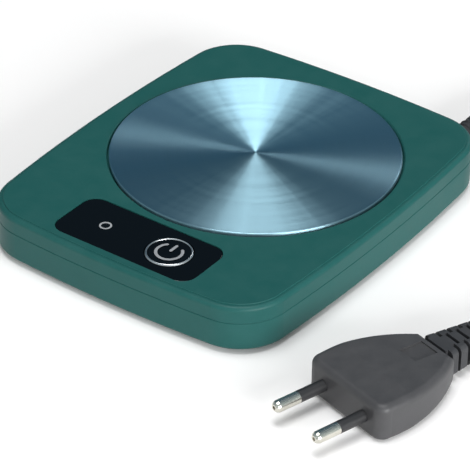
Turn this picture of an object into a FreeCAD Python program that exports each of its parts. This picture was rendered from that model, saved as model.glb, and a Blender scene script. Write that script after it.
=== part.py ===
import FreeCAD, Part
import math
import os

import Sketcher

# Electric mug warmer, in millimetres. The origin is on the table under the middle of the body,
# +Z is up, the control panel is at the -Y end and the mains cord leaves through the +Y wall.

DRIVING_SIZES = (
    # Body shell
    ("body_width", 115.8, "across the bowed sides"),
    ("body_length", 141.0, "across the bowed ends"),
    ("side_radius", 656.0, "bow of the long sides"),
    ("end_radius", 551.0, "bow of the short ends"),
    ("corner_radius", 18.0, "upright corners"),
    ("foot_height", 1.5, "how far the feet stand proud"),
    ("body_height", 16.3, "shell from underside to top"),
    ("parting_height", 10.1, "underside to the joint of the two shells"),
    ("shell_wall", 2.2, "side walls"),
    ("roof_thickness", 2.0, "top of the upper shell"),
    ("floor_thickness", 2.0, "floor of the lower shell"),
    ("shoulder_radius", 1.6, "rounding round the top"),
    ("under_radius", 1.2, "rounding round the underside"),
    ("step_height", 0.3, "raised face on the top"),
    ("step_inset", 2.0, "raised face in from the side"),
    ("joint_chamfer", 0.2, "shadow line at the shell joint"),
    ("lip_height", 1.5, "tongue of the lower shell"),
    ("lip_thickness", 0.9, "tongue of the lower shell"),
    ("seat_gap", 0.15, "play between seated pieces"),
    ("free_gap", 0.3, "play round pieces that move or curve"),
    ("thread_gap", 0.05, "play between a screw and its hole"),
    # Heating plate and what lies under it
    ("plate_radius", 49.0, "round heating plate"),
    ("plate_place", 9.7, "plate's centre behind the middle"),
    ("plate_thickness", 1.8, "aluminium plate"),
    ("plate_proud", 0.5, "plate above the top face"),
    ("rim_radius", 0.5, "rounded rim of the plate"),
    ("opening_gap", 0.6, "dark line round the plate"),
    ("opening_lip", 0.6, "rounded lip of the opening"),
    ("shelf_width", 3.4, "shelf that carries the plate"),
    ("shelf_thickness", 1.4, "shelf that carries the plate"),
    ("collar_wall", 1.6, "collar round the opening"),
    ("seal_thickness", 0.5, "silicone ring under the plate"),
    ("heater_radius", 42.0, "mica heater"),
    ("heater_thickness", 1.0, "mica heater"),
    ("wool_thickness", 2.7, "insulation"),
    ("pan_sheet", 0.8, "pressed steel pan"),
    ("stud_circle", 38.0, "radius of the stud circle"),
    ("stud_radius", 1.5, "weld studs"),
    ("nut_flats", 5.5, "across the flats"),
    ("nut_height", 2.4, "nuts on the studs"),
    # Control panel and power key
    ("panel_width", 55.0, "gloss control panel"),
    ("panel_length", 22.9, "gloss control panel"),
    ("panel_corner", 5.2, "panel's corners"),
    ("panel_thickness", 1.6, "gloss control panel"),
    ("panel_place", 54.3, "panel's centre before the middle"),
    ("panel_sink", 0.15, "panel below the top face"),
    ("ledge_width", 2.2, "ledge that carries the panel"),
    ("ledge_thickness", 1.6, "ledge that carries the panel"),
    ("key_place", 12.3, "key to the right of the middle"),
    ("key_radius", 7.0, "black cap"),
    ("ring_width", 0.85, "bright ring round the cap"),
    ("ring_proud", 0.4, "ring above the panel"),
    ("key_dish", 0.25, "hollow of the cap"),
    ("key_travel", 0.6, "stroke of the key"),
    ("guide_wall", 0.85, "guide tube under the panel"),
    ("lamp_place", 13.3, "indicator to the left of the middle"),
    ("lamp_radius", 2.1, "light ring"),
    ("lamp_core", 1.5, "dark core of the light ring"),
    # Control board
    ("board_width", 50.0, "control board"),
    ("board_length", 22.0, "control board"),
    ("board_thickness", 1.6, "control board"),
    ("board_height", 7.9, "underside of the body to the board"),
    ("post_radius", 2.4, "posts under the board"),
    ("post_side", 22.4, "posts from the panel's centre, sideways"),
    ("post_front", 8.6, "posts from the panel's centre, lengthways"),
    # Shell screws and feet
    ("boss_side", 47.0, "screw bosses, sideways"),
    ("boss_front", 46.0, "screw bosses, lengthways"),
    ("boss_radius", 4.2, "lower bosses"),
    ("screw_radius", 1.3, "shell screws"),
    ("screw_head", 2.6, "head of the shell screws"),
    ("screw_sink", 4.5, "depth of the screw wells"),
    ("foot_side", 39.0, "feet, sideways"),
    ("foot_front", 54.0, "feet, lengthways"),
    ("foot_radius", 6.0, "rubber feet"),
    ("foot_recess", 0.8, "feet let into the underside"),
    # Small fasteners and terminals
    ("board_screw_radius", 1.0, "board and clamp screws"),
    ("board_screw_length", 6.0, "board and clamp screws"),
    ("tab_width", 4.0, "heater's tabs"),
    ("tab_thickness", 0.6, "heater's tabs"),
    ("tab_side", 6.0, "heater's tabs, sideways"),
    ("tab_reach", 34.0, "heater's tabs before the plate's centre"),
    ("guide_length", 1.15, "guide tube under the panel"),
    ("clamp_place", 57.0, "cord clamp behind the middle"),
    # Mains cord
    ("cord_radius", 2.8, "half the cord's diameter"),
    ("cord_place", 39.5, "cord to the right of the middle"),
    ("cord_height", 6.6, "cord's axis above the table at its exit"),
    ("boot_length", 20.0, "tapered boot outside the wall"),
    ("boot_neck", 3.45, "boot where it passes the wall"),
    ("coil_radius", 37.6, "outermost turn of the coil"),
    ("coil_pitch", 6.1, "from one turn to the next"),
    # Plug
    ("plug_width", 35.3, "plug's front"),
    ("plug_thickness", 13.0, "plug's front"),
    ("plug_length", 37.0, "front face to the relief"),
    ("plug_wing", 4.5, "straight side of the wings"),
    ("plug_grip", 16.6, "plug's back"),
    ("plug_bulge", 46.0, "curve of the sides"),
    ("plug_flat", 13.0, "level stretch behind the front"),
    ("plug_taper", 1.5, "thinning of each broad face"),
    ("plug_rounding", 2.4, "rounding of the plug's edges"),
    ("pin_spacing", 19.0, "between the pins"),
    ("pin_radius", 2.0, "bare metal of the pins"),
    ("pin_length", 19.0, "front face to the tips"),
    ("sleeve_length", 10.0, "insulated stretch of the pins"),
    ("relief_length", 21.0, "slotted relief behind the plug"),
)

document = FreeCAD.newDocument("MugWarmer")
sheet = document.addObject("Spreadsheet::Sheet", "Sizes")
for row, (alias, amount, note) in enumerate(DRIVING_SIZES, 1):
    sheet.set(f"A{row}", alias.replace("_", " "))
    sheet.set(f"B{row}", str(amount))
    sheet.set(f"C{row}", note)
    sheet.setAlias(f"B{row}", alias)
document.recompute()


def formula_of(item):
    """The sheet formula of a size, or the text of a plain number."""
    return item.formula if isinstance(item, Size) else f"({float(item)!r})"


class Size(float):
    """A length that remembers the sheet formula it was worked out from."""

    def __new__(cls, amount, formula):
        made = super().__new__(cls, amount)
        made.formula = formula
        return made

    def __add__(self, other):
        return Size(float(self) + float(other), f"({self.formula} + {formula_of(other)})")

    __radd__ = __add__

    def __sub__(self, other):
        return Size(float(self) - float(other), f"({self.formula} - {formula_of(other)})")

    def __rsub__(self, other):
        return Size(float(other) - float(self), f"({formula_of(other)} - {self.formula})")

    def __mul__(self, other):
        return Size(float(self) * float(other), f"({self.formula} * {formula_of(other)})")

    __rmul__ = __mul__

    def __truediv__(self, other):
        return Size(float(self) / float(other), f"({self.formula} / {formula_of(other)})")

    def __neg__(self):
        return Size(-float(self), f"(0 - {self.formula})")


class Sheet:
    """The driving sizes by name, read from the spreadsheet."""

    def __getattr__(self, alias):
        return Size(sheet.get(alias), f"Sizes.{alias}")


size = Sheet()
pieces = {}


def bind(thing, path, amount):
    """Tie one property of an object to the sheet."""
    if isinstance(amount, Size):
        thing.setExpression(path, amount.formula)


def give(thing, **amounts):
    """Set properties of an object and tie them to the sheet."""
    for name, amount in amounts.items():
        setattr(thing, name, float(amount))
        bind(thing, name, amount)
    return thing


def place(thing, x=0.0, y=0.0, z=0.0, turn=None):
    """Put an object at x, y, z, turned if a rotation is given."""
    turn = turn or FreeCAD.Rotation()
    thing.Placement = FreeCAD.Placement(FreeCAD.Vector(float(x), float(y), float(z)), turn)
    for axis, amount in (("x", x), ("y", y), ("z", z)):
        bind(thing, f"Placement.Base.{axis}", amount)
    return thing


def keep(thing, node):
    """Name a finished sub-part and list it for export."""
    thing.Label = node
    pieces[node] = thing
    return thing


# Sketches

def new_body(node):
    """An empty body for one sub-part."""
    return keep(document.addObject("PartDesign::Body", f"{node}_body"), node)


def sketch(body, name, plane="XY_Plane", offset=0.0):
    """A sketch on one of the body's own planes, moved along the plane's normal."""
    made = body.newObject("Sketcher::SketchObject", f"{body.Label}_{name}")
    origin_plane = next(item for item in body.Origin.OriginFeatures if item.Role == plane)
    made.AttachmentSupport = [(origin_plane, "")]
    made.MapMode = "FlatFace"
    made.AttachmentOffset = FreeCAD.Placement(FreeCAD.Vector(0, 0, float(offset)), FreeCAD.Rotation())
    bind(made, "AttachmentOffset.Base.z", offset)
    return made


def dimension(made, amount, *reference):
    """A driving dimension of a sketch."""
    index = made.addConstraint(Sketcher.Constraint(*reference, float(amount)))
    bind(made, f"Constraints[{index}]", amount)


def hold(made, element, point, x, y):
    """Dimension one point of a sketch from the origin."""
    dimension(made, x, "DistanceX", -1, 1, element, point)
    dimension(made, y, "DistanceY", -1, 1, element, point)


def draw_circle(made, x, y, radius):
    """A dimensioned circle."""
    centre = FreeCAD.Vector(float(x), float(y), 0)
    element = made.addGeometry(Part.Circle(centre, FreeCAD.Vector(0, 0, 1), float(radius)), False)
    hold(made, element, 3, x, y)
    dimension(made, radius, "Radius", element)


def draw_polygon(made, corners):
    """A closed run of dimensioned lines."""
    points = [FreeCAD.Vector(float(x), float(y), 0) for x, y in corners]
    lines = [made.addGeometry(Part.LineSegment(start, end), False)
             for start, end in zip(points, points[1:] + points[:1])]
    for line, following in zip(lines, lines[1:] + lines[:1]):
        made.addConstraint(Sketcher.Constraint("Coincident", line, 2, following, 1))
    for line, (x, y) in zip(lines, corners):
        hold(made, line, 1, x, y)


def draw_box(made, x, y, width, length):
    """A dimensioned rectangle round x, y."""
    left, right = x - width / 2, x + width / 2
    low, high = y - length / 2, y + length / 2
    draw_polygon(made, [(left, low), (right, low), (right, high), (left, high)])


def draw_arcs(made, arcs, pinned):
    """A closed run of tangent arcs: centre, radius, start and end; the pinned ones keep centres."""
    up = FreeCAD.Vector(0, 0, 1)
    elements = []
    for (x, y), radius, start, end in arcs:
        circle = Part.Circle(FreeCAD.Vector(float(x), float(y), 0), up, float(radius))
        elements.append(made.addGeometry(Part.ArcOfCircle(circle, start, end), False))
    for element, following in zip(elements, elements[1:] + elements[:1]):
        made.addConstraint(Sketcher.Constraint("Tangent", element, 2, following, 1))
    for index, (element, (centre, radius, _, _)) in enumerate(zip(elements, arcs)):
        dimension(made, radius, "Radius", element)
        if index in pinned:
            hold(made, element, 3, *centre)


def corner_arc(x, y, radius, start):
    """A quarter circle that starts at an angle."""
    circle = Part.Circle(FreeCAD.Vector(float(x), float(y), 0), FreeCAD.Vector(0, 0, 1), float(radius))
    return Part.ArcOfCircle(circle, start, start + math.pi / 2)


def draw_rounded(made, x, y, half_width, half_length, radius):
    """A rectangle with round corners about x, y."""
    left, right = x - half_width + radius, x + half_width - radius
    low, high = y - half_length + radius, y + half_length - radius
    centres = ((right, high), (left, high), (left, low), (right, low))
    arcs = [made.addGeometry(corner_arc(*centre, radius, turn * math.pi / 2), False)
            for turn, centre in enumerate(centres)]
    for arc, centre in zip(arcs, centres):
        dimension(made, radius, "Radius", arc)
        hold(made, arc, 3, *centre)
    for arc, following in zip(arcs, arcs[1:] + arcs[:1]):
        ends = made.getPoint(arc, 2), made.getPoint(following, 1)
        line = made.addGeometry(Part.LineSegment(*ends), False)
        made.addConstraint(Sketcher.Constraint("Tangent", arc, 2, line, 1))
        made.addConstraint(Sketcher.Constraint("Tangent", line, 2, following, 1))


def draw_panel(made, grow=0.0):
    """The panel's outline, grown or drawn in all round."""
    draw_rounded(made, 0.0, panel_y, size.panel_width / 2 + grow, size.panel_length / 2 + grow,
                 size.panel_corner + grow)


def corner_centre():
    """Centre of the corner arc that touches the side arc and the end arc from inside."""
    side = size.side_radius - size.corner_radius
    end = size.end_radius - size.corner_radius
    side_x = float(size.body_width / 2 - size.side_radius)
    end_y = float(size.body_length / 2 - size.end_radius)
    apart = math.hypot(side_x, end_y)
    along = (side ** 2 - end ** 2 + apart ** 2) / (2 * apart)
    across = math.sqrt(side ** 2 - along ** 2)
    toward = (-side_x / apart, end_y / apart)
    x = side_x + toward[0] * along - toward[1] * across
    y = toward[1] * along + toward[0] * across
    return x, y


def draw_outline(made, inset=0.0):
    """The body's outline from eight tangent arcs, drawn in by inset."""
    x, y = corner_centre()
    side_centre = size.body_width / 2 - size.side_radius
    end_centre = size.body_length / 2 - size.end_radius
    side, end = size.side_radius - inset, size.end_radius - inset
    corner = size.corner_radius - inset
    low = math.atan2(y, x - side_centre)
    high = math.atan2(y - end_centre, x)
    half, whole = math.pi, 2 * math.pi
    arcs = [
        ((side_centre, 0.0), side, -low, low),
        ((x, y), corner, low, high),
        ((0.0, end_centre), end, high, half - high),
        ((-x, y), corner, half - high, half - low),
        ((-side_centre, 0.0), side, half - low, half + low),
        ((-x, -y), corner, half + low, half + high),
        ((0.0, -end_centre), end, half + high, whole - high),
        ((x, -y), corner, whole - high, whole - low),
    ]
    draw_arcs(made, arcs, pinned=(0, 2, 4, 6))


# Features

def feature(body, kind, profile, **settings):
    """A feature of a body, with its plain settings, then recomputed."""
    made = body.newObject(f"PartDesign::{kind}", f"{profile.Name}_{kind.lower()}")
    made.Profile = profile
    for name, setting in settings.items():
        setattr(made, name, setting)
    return made


def pad(body, profile, length, **settings):
    """Material from the profile up by length."""
    made = give(feature(body, "Pad", profile, **settings), Length=length)
    document.recompute()
    return made


def pocket(body, profile, length, upward=False, **settings):
    """Material taken out from the profile down, or up, by length."""
    before = body.Shape.Volume
    made = give(feature(body, "Pocket", profile, Reversed=upward, **settings), Length=length)
    document.recompute()
    if not body.Shape.Volume < before:
        raise RuntimeError(f"{made.Name} takes nothing out")
    return made


def revolve(body, profile):
    """The profile turned round the sketch's upright axis."""
    made = feature(body, "Revolution", profile, Angle=360.0)
    made.ReferenceAxis = (profile, ["V_Axis"])
    document.recompute()
    return made


def edges_of(shape, test):
    """Names of a shape's edges that pass a test."""
    return [f"Edge{number}" for number, edge in enumerate(shape.Edges, 1) if test(edge)]


def at_level(height, least=0.0, most=1e9):
    """A test for edges that lie flat at a height, a certain way out from the centre."""
    def test(edge):
        box = edge.BoundBox
        middle = edge.valueAt((edge.FirstParameter + edge.LastParameter) / 2)
        out = math.hypot(middle.x, middle.y)
        flat = abs(box.ZMin - float(height)) < 1e-4 and abs(box.ZMax - float(height)) < 1e-4
        return flat and least <= out <= most
    return test


def dress(body, kind, amount, test):
    """A fillet or chamfer on the edges of the body's tip that pass a test."""
    base = body.Tip
    made = body.newObject(f"PartDesign::{kind}", f"{base.Name}_{kind.lower()}")
    made.Base = (base, edges_of(base.Shape, test))
    give(made, **{"Radius" if kind == "Fillet" else "Size": amount})
    document.recompute()
    return made


def upright(edge):
    """A test for straight edges along Z."""
    box = edge.BoundBox
    return box.XLength < 1e-4 and box.YLength < 1e-4


def turned(node, corners, x=0.0, y=0.0, z=0.0, turn=None):
    """A body turned from a profile of (radius, height) corners."""
    body = new_body(node)
    profile = sketch(body, "profile", "XZ_Plane")
    draw_polygon(profile, corners)
    revolve(body, profile)
    return place(body, x, y, z, turn)


# Solids and booleans

def cylinder(radius, height, x=0.0, y=0.0, z=0.0, turn=None):
    """A plain cylinder standing on x, y, z."""
    made = give(document.addObject("Part::Cylinder", "Rod"), Radius=radius, Height=height)
    return place(made, x, y, z, turn)


def box(width, length, height, x=0.0, y=0.0, z=0.0, turn=None):
    """A block centred on x, y and standing on z."""
    made = document.addObject("Part::Box", "Block")
    give(made, Length=width, Width=length, Height=height)
    if turn is None:
        return place(made, x - width / 2, y - length / 2, z)
    return place(made, x, y, z, turn)


def prism(flats, height, x=0.0, y=0.0, z=0.0):
    """A hexagonal block."""
    made = document.addObject("Part::Prism", "Hexagon")
    made.Polygon = 6
    give(made, Circumradius=flats / math.sqrt(3), Height=height)
    return place(made, x, y, z)


def cut(base, *tools):
    """One solid less others."""
    made = document.addObject("Part::Cut", "Cut")
    made.Base = base
    made.Tool = tools[0] if len(tools) == 1 else fuse(*tools)
    return made


def fuse(*solids):
    """Several solids as one."""
    made = document.addObject("Part::MultiFuse", "Join")
    made.Shapes = list(solids)
    return made


def group(*solids):
    """Separate like solids that share a node."""
    made = document.addObject("Part::Compound", "Group")
    made.Links = list(solids)
    return made


def corners_of(side, front):
    """The four places round a centre."""
    return [(x, y) for y in (-front, front) for x in (-side, side)]


ALONG_Y = FreeCAD.Rotation(FreeCAD.Vector(1, 0, 0), -90)
ALONG_X = FreeCAD.Rotation(FreeCAD.Vector(0, 1, 0), 90)

# Heights above the table
underside = size.foot_height
top_face = underside + size.body_height
shoulder = top_face - size.step_height
parting = underside + size.parting_height
roof_under = top_face - size.roof_thickness
floor_top = underside + size.floor_thickness
plate_top = top_face + size.plate_proud
plate_under = plate_top - size.plate_thickness
shelf_top = plate_under - size.seal_thickness
shelf_under = shelf_top - size.shelf_thickness
panel_top = top_face - size.panel_sink
panel_under = panel_top - size.panel_thickness
ledge_under = panel_under - size.ledge_thickness
board_under = underside + size.board_height
board_top = board_under + size.board_thickness
boss_joint = parting - size.free_gap * 2

opening_radius = size.plate_radius + size.opening_gap
shelf_radius = opening_radius - size.shelf_width
panel_y = -size.panel_place
guide_bore = size.key_radius + size.ring_width + size.free_gap
boss_places = corners_of(size.boss_side, size.boss_front)
foot_places = corners_of(size.foot_side, size.foot_front)
post_places = [(x, panel_y + y) for x, y in corners_of(size.post_side, size.post_front)]
pilot_radius = size.screw_radius + size.thread_gap
board_screw_radius = size.board_screw_radius
board_screw_length = size.board_screw_length
guide_length = size.guide_length
plunger_top = board_top + 4.0
terminal_x = 20.3
terminal_tall = 4.4
lead_height = board_under - terminal_tall / 2

# Heater stack, from the plate down
heater_under = plate_under - size.heater_thickness
wool_under = heater_under - size.wool_thickness
pan_under = wool_under - size.pan_sheet
nut_under = pan_under - size.nut_height
pan_depth = plate_under - pan_under
tab_width, tab_thickness, tab_side = size.tab_width, size.tab_thickness, size.tab_side
tab_y = size.plate_place - size.tab_reach
tab_under = pan_under - 3.0

# Cord and plug on the table
clamp_y = size.clamp_place
coil_centre = (104.0, 98.0, 0.0)
coil_low = size.cord_radius + 1.0
turns_per_layer = 5
tie_thickness = 0.7
flange_reach = 1.1
plug_place = (92.3, -73.2, size.plug_thickness / 2 + 0.02)
plug_angle = -16.3
core_radius = size.pin_radius - 0.55
pin_root = 8.0
tip_bore = 0.62
mark_depth = 0.45


# Shells

def top_housing():
    """Upper shell: roof with the plate's opening, the panel's recess and hollow screw bosses."""
    body = new_body("top_housing")
    wall = sketch(body, "outline", offset=parting)
    draw_outline(wall)
    pad(body, wall, shoulder - parting)
    dress(body, "Fillet", size.shoulder_radius, at_level(shoulder))
    face = sketch(body, "raised_face", offset=shoulder - size.step_height)
    draw_outline(face, size.step_inset)
    pad(body, face, size.step_height * 2)
    dress(body, "Fillet", size.step_height * 0.6, at_level(top_face))
    dress(body, "Chamfer", size.joint_chamfer, at_level(parting))

    hollow = sketch(body, "hollow", offset=parting)
    draw_outline(hollow, size.shell_wall)
    pocket(body, hollow, roof_under - parting, upward=True)
    rebate = sketch(body, "rebate", offset=parting)
    draw_outline(rebate, size.shell_wall - size.lip_thickness - size.seat_gap)
    pocket(body, rebate, size.lip_height + size.seat_gap, upward=True)

    collar = sketch(body, "plate_collar", offset=shelf_under)
    draw_circle(collar, 0.0, size.plate_place, opening_radius + size.collar_wall)
    pad(body, collar, roof_under - shelf_under)
    ledge = sketch(body, "panel_collar", offset=ledge_under)
    draw_box(ledge, 0.0, panel_y, size.panel_width + 4.0, size.panel_length + 3.6)
    pad(body, ledge, roof_under - ledge_under)
    bosses = sketch(body, "bosses", offset=boss_joint)
    for x, y in boss_places:
        draw_circle(bosses, x, y, size.boss_radius - 1.0)
    pad(body, bosses, roof_under - boss_joint)

    bore = sketch(body, "plate_bore", offset=top_face)
    draw_circle(bore, 0.0, size.plate_place, opening_radius)
    pocket(body, bore, top_face - shelf_top)
    window = sketch(body, "plate_window", offset=top_face)
    draw_circle(window, 0.0, size.plate_place, shelf_radius)
    pocket(body, window, top_face - shelf_under)

    recess = sketch(body, "panel_recess", offset=top_face)
    draw_panel(recess, size.seat_gap)
    pocket(body, recess, top_face - panel_under)
    view = sketch(body, "panel_window", offset=top_face)
    draw_panel(view, -size.ledge_width)
    pocket(body, view, top_face - ledge_under)

    pilots = sketch(body, "pilot_holes", offset=boss_joint)
    for x, y in boss_places:
        draw_circle(pilots, x, y, pilot_radius)
    pocket(body, pilots, roof_under - boss_joint - 0.4, upward=True)
    dress(body, "Fillet", size.opening_lip, round_edge(top_face, opening_radius))
    return body


def round_edge(height, radius):
    """A test for the circular edge of a radius at a height."""
    def test(edge):
        curve = edge.Curve
        return (isinstance(curve, Part.Circle) and abs(curve.Radius - float(radius)) < 1e-4
                and abs(edge.BoundBox.ZMax - float(height)) < 1e-4 and at_level(height)(edge))
    return test


def base_cover():
    """Lower shell: a tray with a tongue, screw wells, board posts and the cord's passage."""
    body = new_body("base_cover")
    wall = sketch(body, "outline", offset=underside)
    draw_outline(wall)
    pad(body, wall, size.parting_height)
    dress(body, "Fillet", size.under_radius, at_level(underside))
    dress(body, "Chamfer", size.joint_chamfer, at_level(parting))
    tongue = sketch(body, "tongue", offset=parting)
    draw_outline(tongue, size.shell_wall - size.lip_thickness)
    pad(body, tongue, size.lip_height)
    hollow = sketch(body, "hollow", offset=parting + size.lip_height)
    draw_outline(hollow, size.shell_wall)
    pocket(body, hollow, parting + size.lip_height - floor_top)

    bosses = sketch(body, "bosses", offset=floor_top)
    for x, y in boss_places:
        draw_circle(bosses, x, y, size.boss_radius)
    pad(body, bosses, boss_joint - floor_top)
    posts = sketch(body, "board_posts", offset=floor_top)
    for x, y in post_places:
        draw_circle(posts, x, y, size.post_radius)
    pad(body, posts, board_under - floor_top)
    clamps = sketch(body, "clamp_posts", offset=floor_top)
    for side in (-1, 1):
        draw_circle(clamps, size.cord_place + size.cord_radius * 2.15 * side, clamp_y, size.post_radius)
    pad(body, clamps, size.cord_height + 1.0 - floor_top)
    rest = sketch(body, "cord_rest", offset=floor_top)
    draw_box(rest, size.cord_place, clamp_y, 4.0, 5.0)
    pad(body, rest, size.cord_height - size.cord_radius - 0.05 - floor_top)

    wells = sketch(body, "screw_wells", offset=underside)
    for x, y in boss_places:
        draw_circle(wells, x, y, size.screw_head + size.free_gap)
    pocket(body, wells, size.screw_sink, upward=True)
    passages = sketch(body, "screw_passages", offset=underside)
    for x, y in boss_places:
        draw_circle(passages, x, y, size.screw_radius + 0.2)
    pocket(body, passages, boss_joint - underside, upward=True)
    recesses = sketch(body, "foot_recesses", offset=underside)
    for x, y in foot_places:
        draw_circle(recesses, x, y, size.foot_radius + size.seat_gap)
    pocket(body, recesses, size.foot_recess, upward=True)
    pilots = sketch(body, "post_pilots", offset=board_under)
    for x, y in post_places:
        draw_circle(pilots, x, y, board_screw_radius + size.thread_gap)
    pocket(body, pilots, board_screw_length - size.board_thickness + 0.5)
    clamp_pilots = sketch(body, "clamp_pilots", offset=size.cord_height + 1.0)
    for side in (-1, 1):
        x = size.cord_place + size.cord_radius * 2.15 * side
        draw_circle(clamp_pilots, x, clamp_y, board_screw_radius + size.thread_gap)
    pocket(body, clamp_pilots, 3.0)

    passage = sketch(body, "cord_passage", "XZ_Plane", offset=-(size.body_length / 2))
    draw_circle(passage, size.cord_place, size.cord_height, size.boot_neck + size.thread_gap)
    pocket(body, passage, size.shell_wall * 3, upward=True)
    seat = sketch(body, "boot_seat", "XZ_Plane", offset=-(size.body_length / 2))
    draw_circle(seat, size.cord_place, size.cord_height, size.boot_neck + flange_reach + size.thread_gap)
    pocket(body, seat, size.body_length / 2 - wall_place - 0.1, upward=True)
    landing_top = size.cord_height + size.boot_neck + flange_reach
    landing = sketch(body, "boot_landing", "XZ_Plane", offset=-(wall_place - size.shell_wall - 0.5))
    draw_box(landing, size.cord_place, (landing_top + floor_top) / 2, (size.boot_neck + flange_reach) * 2,
             landing_top - floor_top)
    pocket(body, landing, size.shell_wall * 2, upward=True)
    return body


def rubber_feet():
    """Four round feet with a soft edge and a sunk middle."""
    radius, tall = size.foot_radius, size.foot_height + size.foot_recess
    profile = [(0.0, 0.4), (radius - 2.0, 0.4), (radius - 1.6, 0.0), (radius - 0.8, 0.0),
               (radius, 0.8), (radius, tall), (0.0, tall)]
    for corner, (x, y) in zip(("front_left", "front_right", "rear_left", "rear_right"), foot_places):
        turned(f"foot_{corner}", profile, x, y)


def cross_screw(radius, length, head, head_height, x, y, z, up):
    """A pan-head screw with a cross recess; up is 1 or -1, the way its head faces."""
    turn = FreeCAD.Rotation() if up > 0 else FreeCAD.Rotation(FreeCAD.Vector(1, 0, 0), 180)
    shank = cylinder(radius, length + 0.2, 0.0, 0.0, -length)
    top = cylinder(head, head_height)
    slots = [box(head * 1.2, head * 0.28, head_height, 0.0, 0.0, head_height * 0.45),
             box(head * 0.28, head * 1.2, head_height, 0.0, 0.0, head_height * 0.45)]
    return place(cut(fuse(shank, top), *slots), x, y, z, turn)


def housing_screws():
    """Four long screws that draw the shells together."""
    seat = underside + size.screw_sink
    length = boss_joint - seat + 3.4
    screws = [cross_screw(size.screw_radius, length, size.screw_head, 1.7, x, y, seat, -1)
              for x, y in boss_places]
    keep(group(*screws), "housing_screws")


# Heating plate and heater

def heating_plate():
    """Aluminium plate with a rounded rim and four weld studs."""
    body = new_body("heating_plate")
    profile = sketch(body, "profile", "XZ_Plane")
    radius = size.plate_radius
    draw_polygon(profile, [(0.0, plate_under), (radius - 0.4, plate_under), (radius, plate_under + 0.4),
                           (radius, plate_top), (0.0, plate_top)])
    revolve(body, profile)
    dress(body, "Fillet", size.rim_radius, at_level(plate_top))
    stud = sketch(body, "stud", offset=plate_under)
    reach = size.stud_circle / math.sqrt(2)
    draw_circle(stud, reach, reach, size.stud_radius)
    length = pan_depth + size.nut_height + 1.0
    studs = pad(body, stud, length, Reversed=True)
    ring = body.newObject("PartDesign::PolarPattern", "stud_ring")
    ring.Originals = [studs]
    ring.Axis = (stud, ["N_Axis"])
    ring.Angle = 360.0
    ring.Occurrences = 4
    body.Tip = ring
    document.recompute()
    place(body, 0.0, size.plate_place, 0.0)


def plate_seal():
    """Silicone ring between the plate and its shelf."""
    inner, outer = shelf_radius + 0.4, size.plate_radius - 0.4
    turned("plate_seal", [(inner, shelf_top), (outer, shelf_top), (outer, plate_under), (inner, plate_under)],
           0.0, size.plate_place)


def stud_holes(height, z):
    """Cutters for the holes that the studs pass."""
    reach = size.stud_circle / math.sqrt(2)
    return [cylinder(size.stud_radius + size.free_gap, height, x, size.plate_place + y, z)
            for x, y in corners_of(reach, reach)]


def terminal_slots(height, z):
    """Cutters for the slots that the heater's tabs pass."""
    return [box(tab_width + 1.0, tab_thickness + 1.0, height, side * tab_side, tab_y, z)
            for side in (-1, 1)]


def heater_stack():
    """Mica heater, its tabs, the insulation and the steel pan that holds them up."""
    disc = cylinder(size.heater_radius, size.heater_thickness, 0.0, size.plate_place, heater_under)
    keep(cut(disc, *stud_holes(size.heater_thickness, heater_under)), "heater_element")
    wool = cylinder(size.heater_radius, size.wool_thickness, 0.0, size.plate_place, wool_under)
    wool_cutters = stud_holes(size.wool_thickness, wool_under) + terminal_slots(size.wool_thickness, wool_under)
    keep(cut(wool, *wool_cutters), "insulation_pad")
    tabs = [box(tab_width, tab_thickness, heater_under - tab_under, side * tab_side, tab_y, tab_under)
            for side in (-1, 1)]
    keep(group(*tabs), "heater_tabs")

    body = new_body("heater_pan")
    bowl, sheet_gauge = size.heater_radius + 0.6, size.pan_sheet
    brim = size.plate_radius - 0.4
    profile = sketch(body, "profile", "XZ_Plane")
    draw_polygon(profile, [
        (0.0, wool_under - sheet_gauge), (bowl, wool_under - sheet_gauge),
        (bowl + sheet_gauge, wool_under), (bowl + sheet_gauge, shelf_under - sheet_gauge),
        (brim, shelf_under - sheet_gauge), (brim, shelf_under),
        (bowl, shelf_under), (bowl, wool_under), (0.0, wool_under)])
    revolve(body, profile)
    holes = sketch(body, "holes", offset=wool_under + 1.0)
    reach = size.stud_circle / math.sqrt(2)
    for x, y in corners_of(reach, reach):
        draw_circle(holes, x, y, size.stud_radius + size.free_gap)
    for side in (-1, 1):
        draw_box(holes, side * tab_side, tab_y - size.plate_place, tab_width + 1.0, tab_thickness + 1.0)
    pocket(body, holes, 2.0 + sheet_gauge)
    place(body, 0.0, size.plate_place, 0.0)

    nuts = []
    for x, y in corners_of(reach, reach):
        nut = prism(size.nut_flats, size.nut_height, x, y + size.plate_place, nut_under)
        bore = cylinder(size.stud_radius + size.thread_gap, size.nut_height, x, y + size.plate_place, nut_under)
        nuts.append(cut(nut, bore))
    keep(group(*nuts), "stud_nuts")


def saddle(node, radius, width, x, y):
    """A strap with two feet that holds a rod under the pan."""
    gauge = 0.5
    axis = pan_under - radius - size.free_gap
    outer = radius + size.thread_gap + gauge
    strap = box(width, outer * 2, pan_under - axis, x, y, axis)
    hoop = place(cylinder(outer, width), x - width / 2, y, axis, ALONG_X)
    foot = box(width, outer * 4, gauge, x, y, pan_under - gauge)
    channel = box(width, (outer - gauge) * 2, pan_under - axis, x, y, axis)
    bore = place(cylinder(outer - gauge, width), x - width / 2, y, axis, ALONG_X)
    above = box(width, outer * 2, outer, x, y, pan_under)
    keep(cut(fuse(strap, hoop, foot), channel, bore, above), node)


def rod(node, radius, length, x, y, z):
    """A rod along X with a smaller boss at each end, as a fuse or a sensor has."""
    barrel = place(cylinder(radius, length), x - length / 2, y, z, ALONG_X)
    ends = place(cylinder(radius * 0.6, length + 2.0), x - length / 2 - 1.0, y, z, ALONG_X)
    keep(fuse(barrel, ends), node)


# Control panel, power key and indicator

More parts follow.
